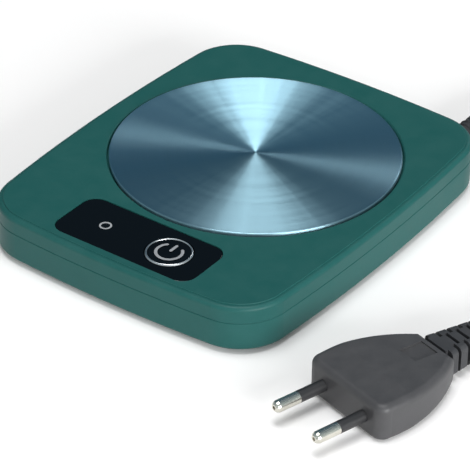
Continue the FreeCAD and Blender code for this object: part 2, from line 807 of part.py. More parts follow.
def control_panel():
    """Gloss panel with the key's guide tube and the hole for the light ring."""
    body = new_body("control_panel")
    plate = sketch(body, "plate", offset=panel_under)
    draw_panel(plate)
    pad(body, plate, size.panel_thickness)
    dress(body, "Fillet", 0.25, at_level(panel_top))
    tube = sketch(body, "guide", offset=panel_under)
    draw_circle(tube, size.key_place, panel_y, guide_bore + size.guide_wall)
    pad(body, tube, guide_length, Reversed=True)
    bore = sketch(body, "key_bore", offset=panel_top)
    draw_circle(bore, size.key_place, panel_y, guide_bore)
    pocket(body, bore, size.panel_thickness + guide_length)
    lamp = sketch(body, "lamp_hole", offset=panel_top)
    draw_circle(lamp, -size.lamp_place, panel_y, size.lamp_radius + size.thread_gap)
    pocket(body, lamp, size.panel_thickness)


def power_key():
    """Dished cap on a skirt with a stop flange, its bright ring and the plunger below."""
    x, y = size.key_place, panel_y
    cap, skirt = size.key_radius, size.key_radius + size.ring_width - 0.05
    seat = panel_under + 0.9
    flange_top = panel_under - guide_length - size.free_gap
    flange = guide_bore + size.guide_wall - 0.2
    body = new_body("power_button")
    profile = sketch(body, "profile", "XZ_Plane")
    draw_polygon(profile, [
        (0.0, plunger_top), (2.5, plunger_top), (2.5, panel_under), (skirt - 1.0, panel_under),
        (skirt - 1.0, flange_top - 0.7), (flange, flange_top - 0.7), (flange, flange_top),
        (skirt, flange_top), (skirt, seat), (cap, seat), (cap, panel_top + 0.2),
        (cap * 0.6, panel_top + 0.2 - size.key_dish * 0.7), (0.0, panel_top + 0.2 - size.key_dish)])
    revolve(body, profile)
    place(body, x, y, 0.0)
    top = panel_top + size.ring_proud
    inner, outer = cap + size.thread_gap, skirt
    turned("button_ring", [(inner, seat), (outer, seat), (outer, top - 0.4), (outer - 0.25, top - 0.08),
                           (outer - 0.45, top), (inner + 0.12, top - 0.15), (inner, top - 0.35)], x, y)
    turned("switch_plunger", [(0.0, plunger_top - 2.0), (1.7, plunger_top - 2.0), (1.7, plunger_top),
                              (0.0, plunger_top)], x, y)

    case = box(6.0, 6.0, plunger_top - board_top - size.key_travel, x, y, board_top)
    well = cylinder(1.7 + size.free_gap, plunger_top - board_top, x, y,
                    plunger_top - 2.0 - size.key_travel - size.free_gap)
    legs = [box(0.8, 0.4, 1.2, x + a, y + b, board_top) for a, b in corners_of(2.6, 3.2)]
    keep(fuse(cut(case, well), *legs), "key_switch")


def indicator():
    """Light ring with a dark core over the lamp on the board."""
    x, y = -size.lamp_place, panel_y
    ring, core = size.lamp_radius, size.lamp_core
    under = panel_under - 1.2
    turned("light_ring", [(core, under), (ring + 0.8, under), (ring + 0.8, panel_under),
                          (ring, panel_under), (ring, panel_top), (core, panel_top)], x, y)
    turned("light_core", [(0.0, under + 0.3), (core - size.thread_gap, under + 0.3),
                          (core - size.thread_gap, panel_top - 0.1), (0.0, panel_top - 0.1)], x, y)
    turned("indicator_lamp", [(0.0, board_top), (1.9, board_top), (1.9, board_top + 0.5),
                              (1.5, board_top + 0.5), (1.5, board_top + 2.0), (1.1, board_top + 2.7),
                              (0.0, board_top + 3.0)], x, y)


# Control board

def control_board():
    """Board on four posts, with its screws."""
    body = new_body("control_board")
    outline = sketch(body, "outline", offset=board_under)
    draw_box(outline, 0.0, panel_y, size.board_width, size.board_length)
    for x, y in post_places:
        draw_circle(outline, x, y, board_screw_radius + 0.2)
    pad(body, outline, size.board_thickness)
    dress(body, "Fillet", 1.0, lambda edge: upright(edge) and abs(edge.valueAt(0).x) > float(size.post_side))
    screws = [cross_screw(board_screw_radius, board_screw_length, 1.9, 1.1, x, y, board_top, 1)
              for x, y in post_places]
    keep(group(*screws), "board_screws")


def board_parts():
    """The parts that switch and regulate the heater, above and below the board."""
    chip = box(9.9, 3.9, 1.5, 0.0, panel_y, board_top + 0.15)
    legs = [box(0.42, 1.2, 0.5, -4.445 + 1.27 * step, panel_y + side * 2.4, board_top)
            for step in range(8) for side in (-1, 1)]
    keep(fuse(chip, *legs), "control_chip")

    case = box(7.0, 11.0, terminal_tall, terminal_x, panel_y, board_under - terminal_tall)
    mouths = [place(cylinder(1.3, 5.0), terminal_x - 1.0, panel_y + row * 5.0, lead_height, ALONG_X)
              for row in (-0.5, 0.5)]
    heads = [cylinder(1.5, 0.6, terminal_x - 1.0, panel_y + row * 5.0, board_under - terminal_tall)
             for row in (-0.5, 0.5)]
    keep(cut(case, *mouths, *heads), "terminal_block")

    film = box(12.0, 5.0, 5.2, -14.0, panel_y + 2.0, board_under - 5.2)
    keep(film, "film_capacitor")
    tab = box(10.0, 6.4, 1.3, 10.0, panel_y + 6.0, board_under - 4.6)
    shell = box(10.0, 8.8, 4.4, 10.0, panel_y - 1.4, board_under - 4.6)
    eye = cylinder(1.8, 1.3, 10.0, panel_y + 6.4, board_under - 4.6)
    pins = [box(0.7, 2.6, 0.5, 10.0 + 2.54 * step, panel_y - 7.0, board_under - 2.4) for step in (-1, 0, 1)]
    rises = [box(0.7, 0.5, 2.4, 10.0 + 2.54 * step, panel_y - 8.1, board_under - 2.4) for step in (-1, 0, 1)]
    keep(cut(fuse(tab, shell, *pins, *rises), eye), "triac")
    barrel = place(cylinder(2.0, 9.0), -7.0, panel_y - 6.5, board_under - 2.5, ALONG_X)
    wires = [box(0.6, 0.6, 3.0, -2.5 + side * 5.0, panel_y - 6.5, board_under - 3.0) for side in (-1, 1)]
    necks = [box(1.0, 0.6, 0.6, -2.5 + side * 4.8, panel_y - 6.5, board_under - 2.8) for side in (-1, 1)]
    keep(fuse(barrel, *wires, *necks), "dropper_resistor")
    fuse_x = -16.0
    barrel = place(cylinder(1.8, 8.0), fuse_x - 4.0, panel_y - 5.0, board_under - 2.3, ALONG_X)
    caps = [place(cylinder(2.1, 1.6), fuse_x + start, panel_y - 5.0, board_under - 2.3, ALONG_X)
            for start in (-4.4, 2.8)]
    clips = [box(1.0, 1.0, 2.3, fuse_x + side * 3.6, panel_y - 5.0, board_under - 2.3) for side in (-1, 1)]
    keep(fuse(barrel, *caps, *clips), "mains_fuse")


# Wires and the mains cord

def vector(point):
    """A point of numbers or sizes as a vector."""
    return FreeCAD.Vector(*(float(part) for part in point))


def rounded_route(points):
    """Straight runs joined by tangent arcs, with the arcs' radii."""
    share = 0.45
    route = [vector(point) for point in points]
    edges, radii, start = [], [], route[0]
    for before, corner, after in zip(route, route[1:], route[2:]):
        arriving, leaving = (corner - before), (after - corner)
        reach = share * min(arriving.Length, leaving.Length)
        arriving.normalize()
        leaving.normalize()
        half_turn = arriving.getAngle(leaving) / 2
        radius = reach / math.tan(half_turn)
        inward = leaving - arriving
        inward.normalize()
        middle = corner + inward * (radius / math.cos(half_turn) - radius)
        bend_start, bend_end = corner - arriving * reach, corner + leaving * reach
        edges.append(Part.LineSegment(start, bend_start).toShape())
        edges.append(Part.Arc(bend_start, middle, bend_end).toShape())
        radii.append(radius)
        start = bend_end
    edges.append(Part.LineSegment(start, route[-1]).toShape())
    return Part.Wire(edges), radii


def sweep(node, wire, radius):
    """A round tube along a wire, its volume compared with section times length."""
    first = wire.OrderedEdges[0]
    start, along = first.valueAt(first.FirstParameter), first.tangentAt(first.FirstParameter)
    if (start - wire.OrderedVertexes[0].Point).Length > 1e-6:
        start, along = first.valueAt(first.LastParameter), first.tangentAt(first.LastParameter) * -1
    profile = Part.Wire(Part.Circle(start, along, float(radius)).toShape())
    shape = wire.makePipeShell([profile], True, False)
    made = document.addObject("Part::Feature", f"{node}_sweep")
    made.Shape = shape
    expected = math.pi * float(radius) ** 2 * wire.Length
    print(f"{node}: {wire.Length:.1f} mm long, volume {shape.Volume / expected:.4f} of section x length")
    return keep(made, node)


def tube(node, points, radius):
    """A wire or cord along points, with its bend radii printed."""
    wire, radii = rounded_route(points)
    print(f"{node}: bend radii", " ".join(f"{bend:.0f}" for bend in radii))
    return sweep(node, wire, radius)


def biarc(start, start_way, end, end_way):
    """Two tangent arcs from one point and direction to another."""
    across, ways = end - start, start_way + end_way
    spread = 2 * (1 - start_way.dot(end_way))
    along = across.dot(ways)
    reach = (math.sqrt(along ** 2 + spread * across.dot(across)) - along) / spread
    joint = (start + start_way * reach + end - end_way * reach) / 2
    arcs = []
    for near, way, far in ((start, start_way, joint), (end, end_way * -1, joint)):
        chord = far - near
        half = way.getAngle(chord)
        rise = chord.cross(way).cross(chord)
        rise.normalize()
        middle = near + chord / 2 + rise * (chord.Length / 2 * math.tan(half / 2))
        ends = (near, middle, far) if near is start else (far, middle, near)
        arcs.append(Part.Arc(*ends).toShape())
    return arcs


def coil_radii():
    """Distance from the coil's middle every half turn: in by half a pitch, then out again."""
    radii = [size.coil_radius - size.coil_pitch / 2 * step for step in range(turns_per_layer)]
    radii.append(radii[-1] - size.coil_pitch * 1.15)
    radii.append(radii[-1] + size.coil_pitch * 1.4)
    for _ in range(turns_per_layer - 1):
        radii.append(radii[-1] + size.coil_pitch / 2)
    return radii


def coil_reach():
    """Distance from the coil's middle where the cord leaves it, a quarter turn further on."""
    return coil_radii()[-1] + size.coil_pitch / 4


def coil_knots():
    """Points and directions every half turn: spiral in below, climb, spiral out above."""
    centre = vector(coil_centre)
    low, high = coil_low, coil_low + size.coil_pitch
    right, left = FreeCAD.Vector(1, 0, 0), FreeCAD.Vector(-1, 0, 0)
    knots = []
    for step, radius in enumerate(coil_radii()):
        side = 1 if step % 2 == 0 else -1
        height = low if step < turns_per_layer else high
        point = centre + FreeCAD.Vector(0, float(radius) * side, float(height))
        knots.append((point, right if side > 0 else left))
    end = centre + FreeCAD.Vector(float(coil_reach()), 0, float(high))
    knots.append((end, FreeCAD.Vector(0, -1, 0)))
    return knots


def least_gap(wire, radius):
    """Least distance between the surfaces of stretches that aren't neighbours."""
    spacing = 1.5
    count = int(wire.Length / spacing)
    points = wire.discretize(Number=count)
    apart = int(math.pi * radius * 2.5 / spacing) + 1
    return min((points[b] - points[a]).Length for a in range(count)
               for b in range(a + apart, count)) - 2 * radius


def cord_coil():
    """The put-away length as one unbroken tube in two layers."""
    knots = coil_knots()
    radius = float(size.cord_radius)
    straight = 2 * radius
    first, last = knots[0], knots[-1]
    edges = [Part.LineSegment(first[0] - first[1] * straight, first[0]).toShape()]
    for (start, start_way), (end, end_way) in zip(knots, knots[1:]):
        edges += biarc(start, start_way, end, end_way)
    edges.append(Part.LineSegment(last[0], last[0] + last[1] * straight).toShape())
    wire = Part.Wire(edges)
    print(f"cord_coil: least gap to itself {least_gap(wire, radius):.2f} mm")
    sweep("cord_coil", wire, radius)


def cord_tie():
    """Flat band round all the coil's turns on one side."""
    body = new_body("cord_tie")
    radii = coil_radii()
    inner = (radii[turns_per_layer] + radii[turns_per_layer + 1]) / 2 - size.cord_radius - 2.4
    outer = (radii[-2] + radii[-1]) / 2 + size.cord_radius + size.free_gap
    low = coil_low - size.cord_radius - size.free_gap
    high = coil_low + size.coil_pitch + size.cord_radius + size.free_gap
    middle_x = coil_centre[0] - (inner + outer) / 2
    profile = sketch(body, "profile", "XZ_Plane", offset=-coil_centre[1] - 4.0)
    half_width, half_tall = (outer - inner) / 2, (high - low) / 2
    middle_z = (high + low) / 2
    for grow in (0.0, tie_thickness):
        draw_rounded(profile, middle_x, middle_z, half_width + grow, half_tall + grow, 2.5 + grow)
    pad(body, profile, 8.0)


def strain_relief():
    """Tapered boot with bend grooves, held in the wall by a neck and two flanges."""
    neck, outer = size.boot_neck, size.boot_neck + flange_reach
    bore = size.cord_radius + size.thread_gap
    wall_in, wall_out = -size.shell_wall - 0.5, 0.2
    corners = [(bore, wall_in - 1.2), (outer - 0.3, wall_in - 1.2), (outer - 0.3, wall_in), (neck, wall_in),
               (neck, wall_out), (outer, wall_out), (outer, wall_out + 1.4)]
    rings = 5
    pitch = (size.boot_length - 5.0) / rings
    for step in range(rings):
        start = wall_out + 1.4 + pitch * step
        shrink = 0.12 * step
        corners += [(outer - 1.1 - shrink, start + 0.2), (outer - 1.1 - shrink, start + 1.1),
                    (outer - 0.35 - shrink * 1.6, start + 1.3)]
    tip = size.boot_length
    corners += [(outer - 1.05, tip - 0.5), (outer - 1.35, tip), (bore, tip)]
    body = turned("strain_relief", corners, size.cord_place, wall_place, size.cord_height, ALONG_Y)
    trim = sketch(body, "floor_trim", "XZ_Plane", offset=-6.0)
    draw_box(trim, 0.0, wall_in - 1.0, 12.0, 2.0)
    flat = size.cord_height - floor_top
    pocket(body, trim, 6.0 - flat + 0.1, upward=True)



def mains_cord():
    """The cord from its clamp to the plug: inner stretch, lead, coil and tail."""
    inner = cylinder(size.cord_radius, wall_place + size.boot_length - clamp_y + 5.0,
                     size.cord_place, clamp_y - 5.0, size.cord_height, ALONG_Y)
    keep(inner, "cord_inner")
    tube("cord_lead", lead_route, size.cord_radius)
    cord_coil()
    tube("cord_tail", tail_route, size.cord_radius)
    cord_tie()


def cord_clamp():
    """Bar over the cord with two screws."""
    reach = size.cord_radius * 2.15
    seat = size.cord_height + 1.0
    bar = box(reach * 2 + 4.6, 5.0, size.cord_radius - 1.0 + 1.8, size.cord_place, clamp_y, seat)
    groove = cylinder(size.cord_radius + size.thread_gap, 5.0, size.cord_place, clamp_y - 2.5,
                      size.cord_height, ALONG_Y)
    holes = [cylinder(size.board_screw_radius + 0.2, 4.0, size.cord_place + side * reach, clamp_y, seat)
             for side in (-1, 1)]
    keep(cut(bar, groove, *holes), "cord_clamp")
    top = seat + size.cord_radius - 1.0 + 1.8
    screws = [cross_screw(size.board_screw_radius, 6.0, 1.9, 1.1, size.cord_place + side * reach,
                          clamp_y, top, 1) for side in (-1, 1)]
    keep(group(*screws), "clamp_screws")


# Plug

def plug_turn():
    """The plug's turn on the table."""
    return FreeCAD.Rotation(FreeCAD.Vector(0, 0, 1), plug_angle)


def plug_point(across, along, up=0.0):
    """A place given from the middle of the plug's front face, in the room."""
    shifted = plug_turn().multVec(FreeCAD.Vector(float(across), float(along), float(up)))
    return vector(plug_place) + shifted


def section(body, name, along, width, tall, corner):
    """A rounded section of the plug, so far behind its front face."""
    made = sketch(body, name, "XZ_Plane", offset=-along)
    draw_rounded(made, 0.0, 0.0, width / 2, tall / 2, corner)
    return made


def loft(body, sections):
    """A smooth body through sections."""
    made = body.newObject("PartDesign::AdditiveLoft", f"{body.Name}_loft")
    made.Profile = sections[0]
    made.Sections = sections[1:]
    document.recompute()
    return made


def draw_plug_outline(made):
    """Straight front and wings, sides that curve in to the grip, straight back."""
    wide, grip = size.plug_width / 2, size.plug_grip / 2
    wing, back = size.plug_wing, size.plug_length
    corners = [(-wide, 0.0), (wide, 0.0), (wide, wing), (grip, back), (-grip, back), (-wide, wing)]
    bulge = size.plug_bulge
    elements = []
    for number, (start, end) in enumerate(zip(corners, corners[1:] + corners[:1])):
        first, last = vector((*start, 0.0)), vector((*end, 0.0))
        if number in (2, 4):
            outward = (last - first).cross(FreeCAD.Vector(0, 0, 1))
            outward.normalize()
            chord = (last - first).Length
            sagitta = bulge - math.sqrt(bulge ** 2 - chord ** 2 / 4)
            middle = (first + last) / 2 + outward * float(sagitta)
            elements.append(made.addGeometry(Part.Arc(first, middle, last), False))
        else:
            elements.append(made.addGeometry(Part.LineSegment(first, last), False))
    for number, (element, following) in enumerate(zip(elements, elements[1:] + elements[:1])):
        made.addConstraint(Sketcher.Constraint("Coincident", element, 2, following, 1))
        hold(made, element, 1, *corners[number])
        if number in (2, 4):
            dimension(made, bulge, "Radius", element)


def plug_body():
    """Two-pin plug: flat, with rounded wings, drawn in and thinned towards its grip."""
    body = new_body("plug_body")
    tall, length = size.plug_thickness, size.plug_length
    outline = sketch(body, "outline")
    draw_plug_outline(outline)
    pad(body, outline, tall, Midplane=True)
    for name, side in (("upper_taper", 1), ("lower_taper", -1)):
        wedge = sketch(body, name, "YZ_Plane")
        edge = tall / 2 * side
        corners = [(size.plug_flat, edge), (length, edge - size.plug_taper * side), (length, edge)]
        draw_polygon(wedge, corners)
        pocket(body, wedge, size.plug_width * 1.2, Midplane=True)
    dress(body, "Fillet", 4.0, lambda edge: upright(edge) and edge.BoundBox.YMax < 1.0)
    rim = [edge for edge in body.Tip.Shape.Edges if on_broad_face(edge)]
    dress(body, "Fillet", size.plug_rounding, lambda edge: any(edge.isSame(item) for item in rim))
    holes = sketch(body, "pin_holes", "XZ_Plane")
    for side in (-0.5, 0.5):
        draw_circle(holes, size.pin_spacing * side, 0.0, core_radius + size.thread_gap)
    pocket(body, holes, pin_root)
    for name, upward in (("upper_mark", 1), ("lower_mark", -1)):
        mark = sketch(body, name, offset=(tall / 2 - size.plug_taper * 0.9 - mark_depth) * upward)
        draw_box(mark, 0.0, length * 0.8, 7.6, 9.0)
        pocket(body, mark, 3.0, upward=upward > 0)
    place(body, *plug_place, plug_turn())


def on_broad_face(edge):
    """Whether an edge runs round the top or the bottom of the plug."""
    box = edge.BoundBox
    middle = edge.valueAt((edge.FirstParameter + edge.LastParameter) / 2)
    crosswise = box.YLength < 1e-4 and abs(middle.y - float(size.plug_flat)) < 1e-3
    level = float(size.plug_thickness / 2 - size.plug_taper) - 1e-3
    return not upright(edge) and not crosswise and min(abs(box.ZMin), abs(box.ZMax)) > level


def plug_relief():
    """Tapered block behind the plug, slotted by turns from its four sides."""
    body = new_body("plug_relief_core")
    del pieces["plug_relief_core"]
    start, end = size.plug_length, size.plug_length + size.relief_length
    loft(body, [section(body, "wide", start, 13.4, 9.4, 1.6), section(body, "narrow", end, 9.4, 7.6, 1.6)])
    slot, core = 1.2, 2.6
    cutters = [box(3.5, slot, 12.0, side * 6.0, start + 0.4, -6.0) for side in (-1, 1)]
    for step in range(4):
        along = start + 4.2 + 4.2 * step
        cutters += [box(4.0, slot, 12.0, side * (core + 2.0), along, -6.0) for side in (-1, 1)]
        if step < 3:
            cutters += [box(6.4, slot, 4.0, 0.0, along + 2.1, level) for level in (core, -core - 4.0)]
    made = keep(cut(body, *cutters), "plug_relief")
    place(made, *plug_place, plug_turn())


def plug_pins():
    """Two round pins with bare tips and insulated roots."""
    turn = plug_turn().multiply(FreeCAD.Rotation(FreeCAD.Vector(1, 0, 0), 90))
    tip, bare = size.pin_length, size.sleeve_length
    radius = size.pin_radius
    pin = [(0.0, -pin_root), (core_radius, -pin_root), (core_radius, bare), (radius, bare),
           (radius, tip - 1.4), (radius * 0.86, tip - 0.6), (radius * 0.55, tip), (tip_bore, tip),
           (tip_bore, tip - 1.0), (0.0, tip - 1.0)]
    sleeve = [(core_radius + size.thread_gap, 0.0), (radius, 0.0), (radius, bare),
              (core_radius + size.thread_gap, bare)]
    for hand, side in (("left", -0.5), ("right", 0.5)):
        x, y, z = plug_point(size.pin_spacing * side, 0.0)
        turned(f"plug_pin_{hand}", pin, x, y, z, turn)
        turned(f"pin_sleeve_{hand}", sleeve, x, y, z, turn)


# Leads inside the body

def inner_leads():
    """Insulated leads from the clamp to the board, and from the board to the heater and sensors."""
    bend_height = size.cord_height
    start_y = clamp_y - 5.0
    for hand, side in (("live", -1), ("neutral", 1)):
        x = size.cord_place + side * 1.3
        end_y = panel_y - side * 2.5
        tube(f"mains_lead_{hand}", [
            (x, start_y, bend_height), (x, start_y - 9.0, bend_height), (x + 3.0, start_y - 22.0, bend_height - 1.0),
            (x + 5.0, start_y - 38.0, bend_height - 1.6), (x + 4.0, start_y - 56.0, bend_height - 1.6),
            (x + 0.5, start_y - 74.0, bend_height - 1.2), (x - 4.0, end_y + 4.5, lead_height - 0.8),
            (x - 10.0, end_y, lead_height), (terminal_x + 1.0, end_y, lead_height)], 1.0)
    for hand, side in (("left", -1), ("right", 1)):
        x, front = side * tab_side, tab_y - 0.8
        end = board_under - 1.5
        tube(f"heater_lead_{hand}", [
            (x, front, tab_under + 1.2), (x, front - 4.0, tab_under + 0.6), (x - side * 0.6, front - 9.0, tab_under - 0.6),
            (x - side * 1.4, front - 14.0, tab_under - 0.9), (x - side * 2.0, front - 17.5, tab_under - 0.2),
            (x - side * 2.2, front - 19.4, end)], 0.9)


# Routes on the table

corner_x, corner_y = corner_centre()
wall_place = corner_y + math.sqrt(size.corner_radius ** 2 - (size.cord_place - corner_x) ** 2)
boot_end = wall_place + size.boot_length
coil_start = (coil_centre[0] - size.cord_radius * 2, coil_centre[1] + size.coil_radius, coil_low)
coil_end = (coil_centre[0] + coil_reach(), coil_centre[1] - size.cord_radius * 2,
            coil_low + size.coil_pitch)
plug_end = plug_point(0.0, size.plug_length + size.relief_length)
plug_approach = plug_point(0.0, size.plug_length + size.relief_length + 13.0)

lead_route = [
    (size.cord_place, boot_end, size.cord_height),
    (size.cord_place, 101.0, size.cord_height),
    (44.2, 114.0, 5.0),
    (54.0, 125.5, 3.4),
    (68.0, 133.0, 3.0),
    (84.0, 135.6, coil_low),
    coil_start,
]
tail_route = [
    coil_end,
    (coil_end[0], 80.5, coil_low + size.coil_pitch),
    (142.0, 66.0, 6.8),
    (138.5, 51.0, 3.7),
    (131.5, 36.0, 2.9),
    (124.5, 21.5, 2.95),
    (117.8, 8.0, 4.4),
    plug_approach,
    plug_end,
]

top_housing()
base_cover()
rubber_feet()
housing_screws()
heating_plate()
plate_seal()
heater_stack()
saddle("fuse_clip", 2.2, 5.0, -14.0, size.plate_place)
rod("thermal_fuse", 2.2, 11.0, -14.0, size.plate_place, pan_under - 2.2 - size.free_gap)
saddle("sensor_clip", 1.6, 4.0, 14.0, size.plate_place)
rod("thermistor", 1.6, 7.0, 14.0, size.plate_place, pan_under - 1.6 - size.free_gap)
control_panel()
power_key()
indicator()
control_board()
board_parts()
strain_relief()
mains_cord()
cord_clamp()
plug_body()
plug_relief()
plug_pins()
inner_leads()
document.recompute()

for thing in document.Objects:
    if "Invalid" in thing.State or "Error" in thing.State:
        raise RuntimeError(f"{thing.Label} did not build: {thing.State}")
for node, piece in pieces.items():
    if piece.Shape.isNull() or not piece.Shape.isValid():
        raise RuntimeError(f"{node} has no sound shape")

os.makedirs("parts", exist_ok=True)
for node, piece in pieces.items():
    piece.Shape.exportStep(f"parts/{node}.step")
print(len(pieces), "nodes")
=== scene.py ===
"""Finishes, cord and stage for an electric mug warmer: a flat teal housing with a round metal
plate, a gloss panel with a power key, and a mains cord with a two-pin plug. Lengths are in metres.
"""

import math

import bpy
import numpy as np
from mathutils import Matrix, Vector


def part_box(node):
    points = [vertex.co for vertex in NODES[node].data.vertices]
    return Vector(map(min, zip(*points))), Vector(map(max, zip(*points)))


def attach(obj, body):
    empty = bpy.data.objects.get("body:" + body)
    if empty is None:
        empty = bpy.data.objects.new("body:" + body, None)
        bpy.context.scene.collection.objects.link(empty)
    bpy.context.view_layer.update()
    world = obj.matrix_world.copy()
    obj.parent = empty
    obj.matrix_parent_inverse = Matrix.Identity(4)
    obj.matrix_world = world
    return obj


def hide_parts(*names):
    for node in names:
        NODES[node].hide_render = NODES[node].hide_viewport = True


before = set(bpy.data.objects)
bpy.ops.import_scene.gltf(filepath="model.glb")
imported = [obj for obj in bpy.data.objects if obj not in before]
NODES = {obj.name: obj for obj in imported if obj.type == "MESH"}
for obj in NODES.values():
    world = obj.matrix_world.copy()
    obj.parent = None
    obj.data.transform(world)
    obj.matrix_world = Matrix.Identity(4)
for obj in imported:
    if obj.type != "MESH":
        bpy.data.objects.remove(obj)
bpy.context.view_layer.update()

bl_info = {
    "name": "Mug warmer look",
    "version": (1, 0, 0),
    "blender": (4, 5, 0),
    "location": "View3D > Sidebar > Mug warmer",
    "description": "Finishes, cord and stage of an electric mug warmer",
    "category": "Object",
}

MM = 0.001


def linear(red, green, blue):
    """Screen colour from 0 to 255 as linear light: ((c + 0.055) / 1.055)^2.4 above the toe."""
    shares = (level / 255 for level in (red, green, blue))
    return tuple(c / 12.92 if c < 0.04045 else ((c + 0.055) / 1.055) ** 2.4 for c in shares)


# Sizes and colours that a user would change

def colour(name, description, default):
    """A colour setting."""
    return bpy.props.FloatVectorProperty(
        name=name, description=description, subtype="COLOR", size=3, min=0.0, max=1.0,
        default=default)


def share(name, description, default):
    """A setting from 0 to 1."""
    return bpy.props.FloatProperty(
        name=name, description=description, subtype="FACTOR", min=0.0, max=1.0, default=default)


class WarmerHousingLook(bpy.types.PropertyGroup):
    """The moulded shell and its rubber feet."""
    shell: colour("Shell", "Colour of the moulded housing", linear(26, 82, 79))
    shell_roughness: share("Shell roughness", "How matt the housing is", 0.46)
    shell_grain: bpy.props.FloatProperty(
        name="Shell grain", description="Depth of the fine moulded texture", subtype="DISTANCE",
        unit="LENGTH", min=0.0, max=0.0002, default=0.000012)
    feet: colour("Feet", "Colour of the rubber feet", linear(38, 39, 41))


class WarmerPlateLook(bpy.types.PropertyGroup):
    """The turned heating plate."""
    metal: colour("Metal", "Colour of the turned plate", (0.5, 0.8, 0.93))
    brushing: share("Brushing", "How far the turned lay stretches highlights", 0.95)
    roughness: share("Roughness", "Roughness of the turned plate", 0.43)
    # Painted shade: how much of the plate's colour is left on the side away from its painted
    # highlight
    painted_shade_level: share("Painted_shade_level", "Brightness left on the more worn side of the plate", 0.62)
    seal: colour("Seal", "Colour of the ring under the plate", linear(196, 198, 192))


class WarmerPanelLook(bpy.types.PropertyGroup):
    """The control panel, its key and its indicator."""
    gloss: colour("Gloss", "Colour of the polished panel and key", linear(4, 4, 6))
    symbol: colour("Symbol", "Colour of the printed power symbol", linear(146, 150, 154))
    symbol_reach: bpy.props.FloatProperty(
        name="Symbol radius", description="Middle of the symbol's stroke", subtype="DISTANCE",
        unit="LENGTH", min=0.001, max=0.006, default=0.0043)
    symbol_stroke: bpy.props.FloatProperty(
        name="Symbol stroke", description="Width of the symbol's stroke", subtype="DISTANCE",
        unit="LENGTH", min=0.0002, max=0.002, default=0.001)
    trim: colour("Trim", "Colour of the bright ring round the key", linear(214, 216, 218))
    guide: colour("Light guide", "Colour of the indicator's ring", linear(160, 164, 167))


class WarmerCordLook(bpy.types.PropertyGroup):
    """The mains cord and its plug."""
    sheath: colour("Sheath", "Colour of the cord's sheath", linear(46, 47, 50))
    plug: colour("Plug", "Colour of the moulded plug", linear(62, 62, 64))
    pins: colour("Pins", "Colour of the plated pins", linear(222, 219, 208))
    diameter: bpy.props.FloatProperty(
        name="Cord diameter", description="Across the cord's sheath", subtype="DISTANCE",
        unit="LENGTH", min=0.002, max=0.01, default=0.0056)


class WarmerStageLook(bpy.types.PropertyGroup):
    """Floor and lights round the object."""
    floor: colour("Floor", "Colour of the floor", (0.97, 0.97, 0.97))
    key_power: bpy.props.FloatProperty(
        name="Side light", description="Power of the light at the right", subtype="POWER",
        unit="POWER", min=0.0, max=200.0, default=54.0)
    top_power: bpy.props.FloatProperty(
        name="Top light", description="Power of the light above the plate", subtype="POWER",
        unit="POWER", min=0.0, max=200.0, default=26.0)
    far_power: bpy.props.FloatProperty(
        name="Far light", description="Power of the light behind the plate", subtype="POWER",
        unit="POWER", min=0.0, max=200.0, default=2.4)
    front_power: bpy.props.FloatProperty(
        name="Front light", description="Power of the light above the camera", subtype="POWER",
        unit="POWER", min=0.0, max=200.0, default=2.0)
    room: share("Room light", "Brightness of the room round the object", 0.5)


# Node trees

# Sockets of a colour mix node, by number
MIX_AMOUNT, MIX_FIRST, MIX_SECOND, MIX_RESULT = 0, 6, 7, 2


class Tree:
    """Adds nodes to a material, world or group and links them by socket name."""

    def __init__(self, tree):
        self.nodes, self.links = tree.nodes, tree.links

    def put(self, value, target):
        """Links a socket to the target socket, or sets a plain value there."""
        if isinstance(value, bpy.types.NodeSocket):
            self.links.new(value, target)
        else:
            target.default_value = value

    def add(self, kind, values=None, **settings):
        """A new node; values go to its inputs by name or number."""
        node = self.nodes.new(kind)
        for name, value in settings.items():
            setattr(node, name, value)
        for name, value in (values or {}).items():
            self.put(value, node.inputs[name])
        return node

    def math(self, operation, *terms):
        """The value of one sum or function of numbers and sockets."""
        return self.add("ShaderNodeMath", dict(enumerate(terms)), operation=operation).outputs[0]

    def blend(self, amount, first, second, mode="MIX"):
        """first where amount is 0 and second where it is 1, as colours."""
        node = self.add("ShaderNodeMix", {MIX_AMOUNT: amount}, data_type="RGBA", blend_type=mode)
        for target, value in ((MIX_FIRST, first), (MIX_SECOND, second)):
            plain = not isinstance(value, bpy.types.NodeSocket)
            self.put(opaque(value) if plain else value, node.inputs[target])
        return node.outputs[MIX_RESULT]

    def span(self, value, low, high, to_low, to_high):
        """A value from low to high brought to the range from to_low to to_high."""
        values = {"Value": value, "From Min": low, "From Max": high, "To Min": to_low,
                  "To Max": to_high}
        return self.add("ShaderNodeMapRange", values).outputs["Result"]


def opaque(value):
    """A colour with full alpha."""
    return (*tuple(value)[:3], 1.0)


def shared_group(name, inputs, outputs, build):
    """A node group: inputs and outputs are (name, kind, default) and build fills the tree."""
    group = bpy.data.node_groups.new(name, "ShaderNodeTree")
    for label, kind, default in inputs:
        socket = group.interface.new_socket(label, in_out="INPUT", socket_type="NodeSocket" + kind)
        if default is not None:
            socket.default_value = default
    for label, kind in outputs:
        group.interface.new_socket(label, in_out="OUTPUT", socket_type="NodeSocket" + kind)
    tree = Tree(group)
    source = tree.add("NodeGroupInput").outputs
    sink = tree.add("NodeGroupOutput")
    for label, socket in build(tree, source).items():
        tree.put(socket, sink.inputs[label])
    return group


# Rates are features per metre for the textures below, and shares of the main rate for the rest
CELL_RATE, MOTTLE_RATE, LOOSE_RATE = 0.62, 0.035, 0.5
FINE_SHARE, CELL_SHARE, CROSS_SHARE = 0.6, 0.4, 0.3
BAND_RATE, SPOT_RATE = 260.0, 180.0


